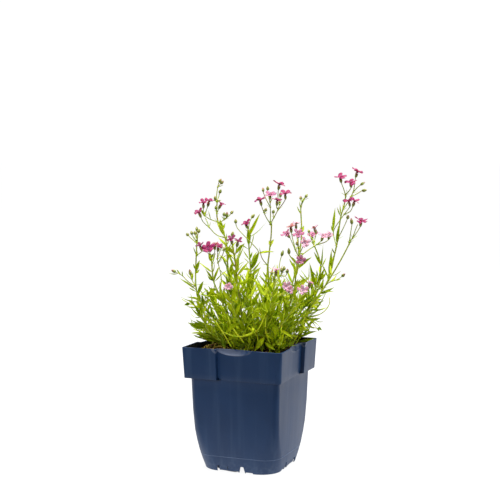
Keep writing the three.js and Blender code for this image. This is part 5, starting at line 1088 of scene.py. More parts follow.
def make_bloom(base, face, span, spin, droops):
    """A bloom on a stem's end: its calyx's foot and mouth, and its petals' middle lines."""
    facing = unit(ACROSS * face[0] + UP * face[1] + TOWARD * face[2])
    top = base + facing * CALYX_LENGTH
    flat = unit(np.cross(facing, TOWARD + UP * BLOOM_LEAN))
    deep = np.cross(facing, flat)
    petals = []
    for i, droop in enumerate(droops):
        angle = spin + i * 2 * math.pi / len(droops)
        out = flat * math.cos(angle) + deep * math.sin(angle)
        petals.append({"root": top + facing * EYE_RISE,
                       "bend": top + facing * BEND_RISE + out * span * BEND_SHARE,
                       "tip": top + facing * (TIP_RISE + droop) + out * span / 2,
                       "side": unit(np.cross(facing, out))})
    return {"top": top, "facing": facing, "flat": flat, "petals": petals, "span": span}


def petal_balls(bloom):
    along = np.array(PETAL_PLACES)
    half = bloom["span"] * PETAL_SHARE * np.minimum(1, along / PETAL_BROAD) * PETAL_TRIM + RULE_GAP
    return np.vstack([np.column_stack((arc(petal, along), half)) for petal in bloom["petals"]])


def grow_side(spray, route, head, number):
    """A side stem with what it carries, moved in depth until it is clear."""
    start = nearest_on(spray, *route[0])
    spin = draw(*BLOOM_SPIN)
    droops = [draw(*PETAL_DROOP) for _ in range(PETALS)]
    kind = head[0] if head else None
    for shift in SHIFTS:
        bent = [(across, up, toward + shift * (i + 1) / (len(route) - 1))
                for i, (across, up, toward) in enumerate(route[1:])]
        line = route_of([start, *bent])
        end = line["places"][-1]
        balls = balls_along(line["places"], SIDE_RADIUS)
        bloom, petals = None, np.zeros((0, 4))
        if kind == "bud":
            line["bud"] = place(*head[1], line["seen"][-1][2])
            balls = np.vstack((balls, balls_along([end, line["bud"]], HEAD_RADIUS)))
        elif kind:
            bloom = make_bloom(end, *head[1:], spin, droops)
            balls = np.vstack((balls, balls_along([end, bloom["top"]], HEAD_RADIUS)))
            petals = petal_balls(bloom)
        own = spray["number"] * 100 + number
        if not is_clear(balls, spray["number"]) or (bloom and not is_clear(petals, own)):
            continue
        spray["lines"].append(line)
        take(balls, spray["number"])
        take(petals, own)
        if bloom:
            name = spray["name"].replace("spray", "bloom") + f"_{number}"
            line["bloom"] = bloom
            spray["blooms"].append({**bloom, "name": name, "tint": kind})
        return


def start_spray(name, stem, number):
    """A spray begins as its main stem, standing in the compost."""
    foot = place(*stem[0])
    ground = float(soil_height(foot[0], foot[1]))
    across, up, toward = stem[0]
    main = route_of([(across, up + FOOT_RISE, toward), *stem[1:]])
    take(balls_along(main["places"], STEM_RADIUS), number)
    buried = [np.array((foot[0], foot[1], ground + rise)) for rise in (-FOOT_DEPTH, FOOT_TOP)]
    return {"name": name, "number": number, "buried": buried, "lines": [main], "leaves": [],
            "blooms": []}


for i, (foot_across, foot_toward, across, up, toward) in enumerate(MOUND):
    (first_across, first_toward), (second_across, second_toward) = (
        (foot_across + (across - foot_across) * share, foot_toward + (toward - foot_toward) * deep_share)
        for share, deep_share in (FIRST_BEND, SECOND_BEND))
    SPRAYS[f"mound_shoot_{i + 1}"] = {
        "stem": [
            (foot_across, MOUND_FOOT, foot_toward),
            (first_across, MOUND_FOOT + MOUND_RISE, first_toward),
            (second_across + draw(-MOUND_SWAY, MOUND_SWAY), (MOUND_FOOT + MOUND_RISE + up) / 2,
             second_toward),
            (across, up, toward),
        ],
        "sides": [], "leaves": [], "pairs": [MOUND_ROW],
    }
sprays = [start_spray(name, source["stem"], i + 1) for i, (name, source) in enumerate(SPRAYS.items())]
for spray, source in zip(sprays, SPRAYS.values()):
    for i, (route, *head) in enumerate(source["sides"]):
        grow_side(spray, route, head, i + 1)
for spray, source in zip(sprays, SPRAYS.values()):
    for leaf in source["leaves"]:
        trace_leaf(spray, *leaf)
for spray, source in zip(sprays, SPRAYS.values()):
    for row in source["pairs"]:
        set_pairs(spray, spray["lines"][0]["places"], *row)

# ---------------------------------------------------------------------------------------------
# The plant's repeated parts, each modelled once: a blade, a length of stem, the swelling where a
# leaf pair sits, a bud, a calyx, a petal and a stamen. The sprays are made of copies of these.
# ---------------------------------------------------------------------------------------------
rng = np.random.default_rng(11)


def pattern_of(piece, half=None):
    """A modelled part's points and faces; along runs up it and across from its middle line outwards."""
    points = np.array([vertex.co for vertex in piece.data.vertices]) / MM
    faces = [tuple(face.vertices) for face in piece.data.polygons]
    along, across = points[:, 2], np.zeros(len(points))
    if half is not None:
        along = points[:, 1]
        across = np.clip(points[:, 0] / np.maximum(half(along), 1e-3), -1, 1)
    bpy.data.objects.remove(piece)
    return {"points": points, "faces": faces, "along": along, "across": across}


def flat_section(half, keel, thickness):
    """A blade's cross section: a shallow gutter with sharp edges, as places across and up."""
    upper = [(v, keel * abs(v) + thickness * (1 - v * v)) for v in (-1, -0.5, 0, 0.5, 1)]
    lower = [(v, keel * abs(v) - thickness * (1 - v * v)) for v in (0.5, 0, -0.5)]
    return [(v * half, w * half) for v, w in upper + lower]


BLADE_ALONG, BLADE_KEEL, BLADE_THICKNESS = [0, 0.06, 0.18, 0.34, 0.52, 0.7, 0.87, 1], 0.3, 0.1
CLASP_HALF, CLASP_LENGTH = 0.36, 0.3


def blade_half(along):
    """Half a blade's width: it clasps the stem, is widest below its middle and ends in a point."""
    body = np.sin(np.pi * np.clip(along, 0, 1) ** LEAF_FULLNESS)
    return np.maximum(body, CLASP_HALF * np.clip(1 - along / CLASP_LENGTH, 0, 1))


blade_rows = []
for along in BLADE_ALONG:
    section = flat_section(float(blade_half(along)), BLADE_KEEL, BLADE_THICKNESS)
    blade_rows.append([(v, along, w) for v, w in section])
blade = pattern_of(drawn_tube("blade", blade_rows, ("FACE", "MERGE")), blade_half)


def round_rows(around, profile, ribs=0):
    """Rings of a round part from its heights and radii; every second point may stand out as a rib."""
    rows = []
    for height, radius in profile:
        row = []
        for i in range(around):
            a, ribbed = math.tau * i / around, radius * (1 + ribs * (-1) ** i)
            row.append((ribbed * math.cos(a), ribbed * math.sin(a), height))
        rows.append(row)
    return rows


def round_part(name, around, profile, ribs=0, top="FACE"):
    """A round part of its own, closed flat below and flat or to a point above."""
    return pattern_of(drawn_tube(name, round_rows(around, profile, ribs), ("FACE", top)))


STEM_SIDES, NODE_SIDES, CALYX_SIDES, STAMEN_SIDES, STEM_RINGS, SHORT_RINGS = 7, 8, 10, 5, 30, 9
BUD_RIBS, CALYX_RIBS = 0.04, 0.03

long_stem, short_stem = (
    round_part(name, STEM_SIDES, [(i / (rings - 1), 1) for i in range(rings)])
    for name, rings in (("long_stem", STEM_RINGS), ("short_stem", SHORT_RINGS)))
node_swelling = round_part("node_swelling", NODE_SIDES, [
    (-1, 0.75), (-0.5, 1.15), (0, 1.3), (0.5, 1.15), (1, 0.75)])
bud = round_part("bud", CALYX_SIDES, [
    (0, 0.3), (0.07, 0.55), (0.2, 0.88), (0.38, 1), (0.58, 0.9), (0.76, 0.64), (0.9, 0.34), (1, 0.02),
], BUD_RIBS, "MERGE")
calyx_rows = round_rows(CALYX_SIDES, [
    (0, 0.3), (0.08, 0.55), (0.3, 0.86), (0.55, 1), (0.75, 0.96), (0.85, 0.95), (0.78, 0.75), (0.6, 0.5),
], CALYX_RIBS)
# the calyx's mouth: every second point of one row is a tooth, the others are the dips between
MOUTH_ROW, TOOTH, TOOTH_GAP = 5, (1.12, 1.1), (0.96, 0.82)
mouth = []
for i, (x, y, _) in enumerate(calyx_rows[MOUTH_ROW]):
    out, height = TOOTH if i % 2 else TOOTH_GAP
    mouth.append((x * out, y * out, height))
calyx_rows[MOUTH_ROW] = mouth
calyx = pattern_of(drawn_tube("calyx", calyx_rows))


def petal_half(along):
    """Half a petal's width: a narrow claw that widens to a rounded, notched end."""
    return np.interp(along, [0, 0.2, 0.4, 0.65, 0.85, 1.1], [0.34, 0.5, 0.74, 0.97, 1, 0.84])


PETAL_ALONG, PETAL_THICKNESS, PETAL_CUP = (0, 0.2, 0.42, 0.62, 0.8, 0.93, 1.02), 0.06, 0.3
# the end's notch: from where it is felt, over what length, how deep in the middle and at the corners
NOTCH_FROM, NOTCH_LENGTH, NOTCH_DEPTH, CORNER_DEPTH = 0.6, 0.42, 0.13, 0.1
petal_rows = []
for along in PETAL_ALONG:
    row = []
    for v, w in flat_section(float(petal_half(along)), 0.0, PETAL_THICKNESS):
        share = abs(v) / float(petal_half(along))
        cut = NOTCH_DEPTH * max(0, 1 - share / 0.5) + CORNER_DEPTH * max(0, share - 0.5) / 0.5
        notch = max(0, along - NOTCH_FROM) / NOTCH_LENGTH * cut
        row.append((v, along - notch, w + PETAL_CUP * share * share * along))
    petal_rows.append(row)
petal = pattern_of(drawn_tube("petal", petal_rows), petal_half)
throat = round_part("throat", CALYX_SIDES, [
    (0, 0.9), (0.35, 1.15), (0.7, 1.75), (1, 2.7), (0.94, 2.7), (0.62, 1.5), (0.45, 0.6)])
stamen = round_part("stamen", STAMEN_SIDES, [
    (0, 0.08), (0.8, 0.07), (0.84, 0.2), (0.92, 0.24), (1, 0.02)], top="MERGE")
GROWTH_SMOOTH = 70


class Growth:
    """Copies of the parts, gathered into one mesh."""

    def __init__(self):
        self.points, self.faces, self.finishes = [], [], []
        self.features = {"along": [], "across": [], "tone": [], "blush": []}
        self.count = 0

    def add(self, pattern, points, along=None, tone=0.5, blush=0.0, finish=0):
        along = pattern["along"] if along is None else along
        self.points.append(points)
        self.faces += [tuple(self.count + corner for corner in face) for face in pattern["faces"]]
        self.finishes += [finish] * len(pattern["faces"])
        values = {"along": along, "across": pattern["across"], "tone": tone, "blush": blush}
        for name, value in values.items():
            self.features[name].append(np.ones(len(points)) * value)
        self.count += len(points)

    def piece(self, name, finishes):
        mesh = bpy.data.meshes.new(name)
        mesh.from_pydata((np.vstack(self.points) * MM).tolist(), [], self.faces)
        for feature, values in self.features.items():
            kept = mesh.attributes.new(feature, "FLOAT", "POINT")
            kept.data.foreach_set("value", np.concatenate(values))
        for finish in finishes:
            mesh.materials.append(finish)
        mesh.polygons.foreach_set("material_index", self.finishes)
        piece = bpy.data.objects.new(name, mesh)
        bpy.context.collection.objects.link(piece)
        smooth_under(piece, GROWTH_SMOOTH)
        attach(piece, "root")
        return piece


RIPPLES = 9


def along_arc(pattern, curve, half, twist=0.0, ripple=0.0):
    """A flat part laid along a quadratic arc, its width across the arc's side."""
    x, y, z = pattern["points"].T
    middle = arc(curve, y)
    ahead = ((1 - y)[:, None] * (curve["bend"] - curve["root"])
             + y[:, None] * (curve["tip"] - curve["bend"]))
    ahead /= np.linalg.norm(ahead, axis=1)[:, None]
    side = curve["side"] - ahead * (ahead @ curve["side"])[:, None]
    side /= np.linalg.norm(side, axis=1)[:, None]
    over = np.cross(side, ahead)
    turn = (twist * y)[:, None]
    side, over = side * np.cos(turn) + over * np.sin(turn), over * np.cos(turn) - side * np.sin(turn)
    rise = z + ripple * np.sin(y * RIPPLES) * x * 0.5
    return middle + side * (x * half)[:, None] + over * (rise * half)[:, None]


def smoothed(points):
    """A route with its corners cut twice, its ends kept."""
    points = np.array(points)
    for _ in range(2):
        early = points[:-1] * 0.75 + points[1:] * 0.25
        late = points[:-1] * 0.25 + points[1:] * 0.75
        inner = np.stack((early, late), 1).reshape(-1, 3)
        points = np.vstack((points[:1], inner[1:-1], points[-1:]))
    return points


def along_route(pattern, points, radii):
    """A round part laid along a route, with its radius given at places along it."""
    route = smoothed(points)
    walked = np.concatenate(([0], np.cumsum(np.linalg.norm(np.diff(route, axis=0), axis=1))))
    heights = np.unique(np.round(pattern["points"][:, 2], 5))
    centres = np.column_stack([np.interp(heights * walked[-1], walked, route[:, k]) for k in range(3)])
    ahead = np.gradient(centres, axis=0)
    ahead /= np.linalg.norm(ahead, axis=1)[:, None]
    flat = [unit(np.cross(ahead[0], ACROSS if abs(ahead[0][2]) > 0.9 else UP))]
    for axis in ahead[1:]:
        flat.append(unit(flat[-1] - axis * (flat[-1] @ axis)))
    flat = np.array(flat)
    deep = np.cross(ahead, flat)
    x, y, z = pattern["points"].T
    ring = np.searchsorted(heights, np.round(z, 5))
    radius = np.interp(z, np.linspace(0, 1, len(radii)), radii)
    return centres[ring] + flat[ring] * (x * radius)[:, None] + deep[ring] * (y * radius)[:, None]


def on_axis(pattern, base, top, radius, turn=0.0):
    """A round part stood on a base point with its top at another."""
    axis = unit(top - base)
    flat = unit(np.cross(axis, ACROSS if abs(axis[2]) > 0.9 else UP))
    deep = np.cross(axis, flat)
    cos, sin = math.cos(turn), math.sin(turn)
    flat, deep = flat * cos + deep * sin, deep * cos - flat * sin
    x, y, z = pattern["points"].T
    return base + np.outer(z, top - base) + np.outer(x, flat) * radius + np.outer(y, deep) * radius


# ---------------------------------------------------------------------------------------------
# The sprays: thin wiry stems in opposite pairs of narrow leaves, forking above into bare side
# stems, each with a bud or a calyx on its end. The model carries only the leaves that make the
# form; the rest grow here: more pairs, leafy twigs, bracts at the forks, and the mound's low shoots.
# ---------------------------------------------------------------------------------------------
leaf_green = Finish("leaf_green", Specular_IOR_Level=0.12, Subsurface_Weight=0.3,
                    Subsurface_Scale=0.0012)
leaf_green.shader.inputs["Subsurface Radius"].default_value = (0.7, 1.0, 0.1)
along, across, tone = (leaf_green.feature(name) for name in ("along", "across", "tone"))
height = leaf_green.along(2)
freshness = tone * 0.8 + height.within(0.13, 0.22) * 0.2
blade_colour = leaf_green.ramp(freshness, (0.0, tint(80, 104, 2)), (0.3, tint(140, 162, 4)),
                               (0.65, tint(188, 206, 12)), (1.0, tint(206, 220, 58)))
midrib = 1 - abs(across).within(0.04, 0.16)
mottle = leaf_green.noise(700, 3)
blade_colour = leaf_green.mixed(midrib * 0.35, blade_colour, tint(208, 218, 70))
blade_colour = leaf_green.mixed(along.within(0.75, 1.0) * 0.3, blade_colour, tint(196, 200, 70))
blade_colour = leaf_green.mixed(mottle.within(0.35, 0.75) * 0.3, blade_colour, tint(112, 134, 2))
# painted shade: low in the mound the leaves are painted dark in patches, where it is dark among them
shade = (1 - height.within(0.124, 0.15)) * leaf_green.noise(150, 2).within(0.4, 0.56)
blade_colour = leaf_green.mixed(shade * 0.85, blade_colour, tint(22, 34, 2))
leaf_green.paint("Base Color", blade_colour)
leaf_green.paint("Roughness", 0.5 + 0.16 * mottle)
leaf_green.relief(abs(across).within(0, 0.2) + 0.4 * mottle, 0.00012)

stem_green = Finish("stem_green", Specular_IOR_Level=0.25, Subsurface_Weight=0.2, Subsurface_Scale=0.001)
blush, streaks = stem_green.feature("blush"), stem_green.noise(900, 3, (1, 1, 0.15))
stem_colour = stem_green.mixed(streaks.within(0.3, 0.7), tint(160, 184, 40), tint(200, 214, 84))
stem_colour = stem_green.mixed(stem_green.feature("tone") * 0.8, stem_colour, tint(218, 230, 36))
stem_green.paint("Base Color", stem_green.mixed(blush, stem_colour, tint(140, 84, 84)))
stem_green.paint("Roughness", 0.45 + 0.1 * streaks)

bud_green = Finish("bud_green", Specular_IOR_Level=0.25, Subsurface_Weight=0.15, Subsurface_Scale=0.001)
along, tone, blush = (bud_green.feature(name) for name in ("along", "tone", "blush"))
bud_colour = bud_green.mixed(tone, tint(132, 154, 56), tint(168, 176, 92))
bud_colour = bud_green.mixed(blush * along.within(0.45, 0.85) * 0.8, bud_colour, tint(176, 70, 118))
bud_colour = bud_green.mixed(bud_green.noise(900, 3) * 0.3, bud_colour, tint(124, 106, 62))
bud_green.paint("Base Color", bud_colour)
bud_green.paint("Roughness", 0.5 + 0.1 * bud_green.noise(1200, 2))

# the free leaves and twigs stay within the model's box, over the compost and off the far left
low_corner, high_corner = np.array(cad_low) + MM, np.array(cad_high) - MM
LOWEST_LEAF, FAR_LEFT, FAR_LEFT_TOP = 126, -64, 156
low_corner[2] = LOWEST_LEAF * MM
# their scatter: gaps, quarter turns, each leaf's turn, length, width, opening, arch and twist
LOOSE_GAPS, LOOSE_SWAY, LOOSE_TURN = (0.7, 1.3), 30, 20
LOOSE_LENGTHS, LOOSE_WIDTHS = (0.55, 1.15), (0.6, 1.35)
LOOSE_OPENING, LOOSE_ARCH, LOOSE_TWIST, LOOSE_ROOM = (16, 68), (-2.8, 2), 0.9, 0.6
TWIG_STEPS, TWIG_ROOM = 10, 0.1


def is_outside(point):
    return np.any(point * MM < low_corner) or np.any(point * MM > high_corner)


def free_leaf(spray, root, axis, turn, length, width, opening, arch):
    """One leaf at an opening in degrees from its stem, if there is room for it."""
    # a little off the eye's way, for stems that point at the eye
    flat = unit(np.cross(axis, TOWARD + ACROSS * 0.1))
    deep = np.cross(axis, flat)
    spread, angle = math.radians(opening), math.radians(turn)
    out = flat * math.cos(angle) + deep * math.sin(angle)
    tip = root + (axis * math.cos(spread) + out * math.sin(spread)) * length
    side = np.cross(axis, out) + axis * draw(-LOOSE_TWIST, LOOSE_TWIST)
    leaf = make_leaf(root, tip, width, side, arch)
    balls = leaf_balls(leaf) * (1, 1, 1, LOOSE_ROOM)
    far_left = tip @ ACROSS < FAR_LEFT and tip[2] < FAR_LEFT_TOP
    if far_left or is_outside(tip) or not is_clear(balls, spray["number"]):
        return
    take(balls, spray["number"])
    spray["leaves"].append(leaf)


def leaf_out(spray, places, begin, end, gap, length, width):
    """Looser pairs of varied leaves along a line."""
    turn, walked, following = draw(0, 180), 0, begin
    for here, before in zip(places[1:], places):
        walked += math.dist(here, before)
        if following > end or walked < following:
            continue
        following += gap * draw(*LOOSE_GAPS)
        turn += 90 + draw(-LOOSE_SWAY, LOOSE_SWAY)
        axis = unit(here - before)
        for half_turn in (0, 180):
            free_leaf(spray, here, axis, turn + half_turn + draw(-LOOSE_TURN, LOOSE_TURN),
                      length * draw(*LOOSE_LENGTHS), width * draw(*LOOSE_WIDTHS),
                      draw(*LOOSE_OPENING), draw(*LOOSE_ARCH))


def leafy_twig(spray, root, reach, rise, row):
    """A thin side shoot that curves up, with a row of small leaves, where there is room for it."""
    shares = np.linspace(0, 1, TWIG_STEPS)[:, None]
    places = root + reach * shares + UP * rise * shares ** 2
    if is_outside(places[-1]) or not is_clear(balls_along(places[2:], TWIG_ROOM), spray["number"]):
        return
    take(balls_along(places, TWIG_ROOM), spray["number"])
    spray["lines"].append({"places": places, "knots": places[::3], "kind": "twig"})
    leaf_out(spray, places, *row)


# more single leaves on the taller stems, as seen in the photograph: root, tip and width
UPPER_LEAVES = (
    ((-28, 243.5), (-34.8, 257.3), 4.6), ((-15.8, 224), (-6.3, 235.1), 3.4),
    ((-8.4, 206.5), (-14, 219.8), 4.4), ((-20, 222.9), (-26.9, 232.4), 4),
    ((-22.1, 198.6), (-19, 216.6), 3.6), ((8, 223.5), (24.9, 226.1), 2.4),
    ((-62.8, 185.4), (-75.5, 198.1), 2.4), ((5.9, 199.7), (11.2, 209.7), 3.6),
    ((-41.2, 192.3), (-48, 207.6), 2.4), ((54, 208.7), (64, 220.3), 3.2),
    ((48.7, 211.3), (40.2, 221.9), 2.6), ((48.7, 190.7), (59.8, 196.5), 2.6),
)
UPPER_SHOWN, UPPER_ARCH = 0.85, 1
for root, tip, width in UPPER_LEAVES:
    nearest = min(sprays, key=lambda spray: math.dist(nearest_on(spray, *root)[:2], root))
    trace_leaf(nearest, root, tip, width, UPPER_SHOWN, UPPER_ARCH)

# twigs on the stems: between which heights, at every which place, how far they lean out and rise
TWIG_LOW, TWIG_HIGH, TWIG_EVERY, TWIG_LEAN, TWIG_REACH, TWIG_RISE = 134, 176, 5, 0.9, (18, 34), (2, 9)
# rows of loose leaves: from, to, gap, length and width
TWIG_ROW, PLAIN_ROW = (5, 40, 6, 15, 2.9), (8, 40, 0, 20, 3.2)
# between the solid pairs and above them: how far on, the gap, and the shares of length and width
BETWEEN, ABOVE = (6, 6, 0.9, 0.85), (44, 9, 0.8, 0.75)
UPPER_LEAFY = ("rosy_left", "bright_left", "red_stemmed", "tall_leaves", "low_left", "inner_right",
               "thin_right")
for spray, source in zip(sprays, SPRAYS.values()):
    stem = spray["lines"][0]["places"]
    fitting = [i for i in range(1, len(stem)) if TWIG_LOW < stem[i][2] < TWIG_HIGH]
    for i in fitting[::TWIG_EVERY]:
        angle = draw(0, math.tau)
        out = (unit(stem[i] - stem[i - 1]) * draw(0.5, 1.1) + ACROSS * math.cos(angle) * TWIG_LEAN
               + TOWARD * math.sin(angle) * TWIG_LEAN)
        leafy_twig(spray, stem[i], unit(out) * draw(*TWIG_REACH), draw(*TWIG_RISE), TWIG_ROW)
    for begin, end, _, length, width in source["pairs"] or [PLAIN_ROW]:
        earlier, gap, long_share, wide_share = BETWEEN
        leaf_out(spray, stem, begin - earlier, end, gap, length * long_share, width * wide_share)
        if any(word in spray["name"] for word in UPPER_LEAFY):
            run, gap, long_share, wide_share = ABOVE
            leaf_out(spray, stem, end, end + run, gap, length * long_share, width * wide_share)

# the low shoots of the mound, which have no stem of the sprays to stand on
low = {"name": "low", "number": 90, "buried": [], "lines": [], "leaves": []}
# young stems that lean or droop about the mound, as seen in the photograph: their places across,
# up and toward the eye, and the gap between their leaf pairs, if they have any
YOUNG_STEMS = (
    # an arc in front, and the straighter stems beside it
    ([(15.4, 159.5, 44), (11.7, 151, 47), (8, 143.6, 48), (2.2, 138.7, 48), (-3.1, 136.7, 47),
      (-13.7, 136, 46), (-23.2, 137.8, 44), (-31.7, 142.6, 41)], 0),
    ([(-5.2, 125.7, 44), (-10.5, 133.6, 45), (-16.9, 141.5, 43), (-22.7, 152.1, 38),
      (-26.4, 165.8, 31)], 12),
    ([(8.5, 125.7, 46), (6.4, 139.4, 45), (2.7, 148.9, 42), (1.1, 162.7, 36), (0.1, 177.5, 28)], 16),
    ([(2.7, 148.4, 42), (7.5, 152.6, 43), (12.7, 159, 43)], 0),
    ([(28.6, 124.6, 50), (31.8, 141.5, 46), (34.4, 158.4, 40), (37.6, 175.4, 32)], 12),
    ([(-21.1, 125.7, 40), (-30.6, 142.6, 36), (-41.2, 156.9, 28), (-52.3, 170.6, 18),
      (-58.1, 174.3, 14)], 16),
    ([(21.2, 125.7, 50), (18, 134.1, 50), (14.9, 143.6, 48), (15.9, 157.4, 44), (14.9, 172.2, 38)], 10),
    # two that hang out to the right, and one to the left
    ([(40, 127, 10), (48, 146, 12), (56.3, 155.7, 12), (69.9, 158.2, 12), (78.5, 163.3, 12),
      (83.6, 171.9, 10), (82.7, 177.8, 8)], 0),
    ([(44, 128, 14), (52, 143, 18), (61.4, 146.6, 20), (67.8, 145.8, 20), (73.4, 143.5, 20)], 14),
    ([(-34, 127, 6), (-44, 152, 8), (-52.8, 165, 8), (-57.1, 168.8, 8), (-64.7, 171, 8),
      (-73, 176, 8)], 14),
)
YOUNG_ROOM, YOUNG_FROM, YOUNG_TO, YOUNG_LENGTH, YOUNG_WIDTH = 0.5, 8, 80, 14, 2.8
# the mound's front leaves, as seen: root, tip, width, and how light the leaf is
FRONT_LEAVES = (
    ((-46.5, 146.3, 12), (-67.1, 151, 14), 5.4, 0.35), ((-47.5, 147.3, 9), (-59.1, 154.2, 8), 3.2, 0.25),
    ((-30.6, 129.9, 30), (-57, 135, 16), 2.2, 0.3), ((-30.6, 136.2, 36), (-27.4, 123, 41), 4.2, 0),
    ((13.8, 135.2, 50), (3.8, 120.6, 53), 5.4, 0.7), ((-4.2, 129.4, 48), (-15.8, 122.5, 46), 4.2, 0.1),
    ((14.9, 129.9, 51), (26.5, 121.5, 55), 3.4, 0.45),
    ((29.7, 137.3, 46), (21.2, 151, 42), 5, 0.55), ((41.3, 134.1, 30), (37.1, 153.2, 27), 4.6, 0.1),
    ((34.9, 124.6, 38), (49.7, 133.1, 24), 3.2, 0.2), ((51.8, 135.2, 8), (70.3, 141.5, 6), 3, 0.35),
    ((49.7, 131, 4), (68.8, 134.6, 4), 2.4, 0.2), ((11.7, 152.1, 38), (14.3, 171.1, 34), 4.8, 0.85),
    ((1.1, 154.2, 36), (11.7, 169, 33), 4.2, 0.8), ((-5.2, 151, 37), (-13.7, 170.1, 32), 4.4, 0.5),
    ((-20, 145.8, 34), (-30.6, 164.8, 28), 4.2, 0.6), ((-27.4, 137.3, 32), (-39.1, 153.2, 24), 3.6, 0.4),
    ((-8.4, 124.6, 46), (-22.1, 134.1, 42), 3.2, 0.2), ((22.3, 125.7, 52), (31.8, 134.1, 48), 3, 0.3),
    ((11.7, 141.5, 42), (18, 155.3, 38), 4.4, 0.6),
)
FRONT_TILT, FRONT_ARCH = 0.3, (-1, 2)
for points, _ in YOUNG_STEMS:
    line = {**route_of(points), "kind": "young"}
    take(balls_along(line["places"], YOUNG_ROOM), low["number"])
    low["lines"].append(line)
for root, tip, width, lightness in FRONT_LEAVES:
    root, tip = place(*root), place(*tip)
    facing = np.cross(unit(tip - root), TOWARD) + TOWARD * draw(-FRONT_TILT, FRONT_TILT)
    leaf = {**make_leaf(root, tip, width, facing, draw(*FRONT_ARCH)), "tone": lightness}
    take(leaf_balls(leaf), low["number"])
    low["leaves"].append(leaf)
for line, (_, gap) in zip(low["lines"], YOUNG_STEMS):
    if gap:
        leaf_out(low, line["places"], YOUNG_FROM, YOUNG_TO, gap, YOUNG_LENGTH, YOUNG_WIDTH)
# short shoots all round, and then more that close the gaps in the mound's core
SHOOT_TRIES, SHOOT_AWAY, CORE_TRIES, CORE_AWAY = 170, (24, 42), 90, (3, 24)
SHOOT_DEPTH, SHOOT_LEAN, SHOOT_SWAY, SHOOT_UP, SHOOT_RISE = 2, (-4, 12), 10, (6, 17), (1, 8)
SHOOT_ROW = (4, 40, 4.2, 17, 3.4)
# none grow at the bare left corner, nor where the front leaf shows over the rim
BARE_LEFT, FRONT_LEAF_FROM, FRONT_LEAF_TO, FRONT_LEAF_OUT = -24, -2, 16, 34
for i in range(SHOOT_TRIES + CORE_TRIES):
    angle = draw(0, math.tau)
    way = np.array((math.cos(angle), math.sin(angle), 0.0))
    away = draw(*(SHOOT_AWAY if i < SHOOT_TRIES else CORE_AWAY)) / max(abs(way))
    foot = way * away
    foot[2] = soil_height(foot[0], foot[1]) - SHOOT_DEPTH
    lean = way * draw(*SHOOT_LEAN) + ACROSS * draw(-SHOOT_SWAY, SHOOT_SWAY)
    across, out = foot @ ACROSS, foot @ TOWARD
    bare_corner = across < BARE_LEFT and out > 0
    behind_front_leaf = FRONT_LEAF_FROM < across < FRONT_LEAF_TO and out > FRONT_LEAF_OUT
    if not (bare_corner or behind_front_leaf):
        leafy_twig(low, foot, lean + UP * draw(*SHOOT_UP), draw(*SHOOT_RISE), SHOOT_ROW)

STEM_RADII = {"main": [1, 0.95, 0.9, 0.8, 0.7], "side": [0.58, 0.5, 0.42],
              "twig": [0.5, 0.45, 0.35], "young": [0.7, 0.65, 0.6, 0.5, 0.35]}
NODE_LENGTH, NODE_RADIUS, BUD_RADIUS, CALYX_RADIUS, ANY_TURN = 0.9, 0.8, 1.75, 1.6, (0, 3)
BRACT_LENGTH, BRACT_WIDTH, BRACT_LENGTHS = 5.5, 1.3, (0.6, 1.2)
BRACT_OPENING, BRACT_ARCH, BRACT_TILT, BRACT_CUP = (0.35, 0.8), (-0.5, 0.3), 0.5, 0.2
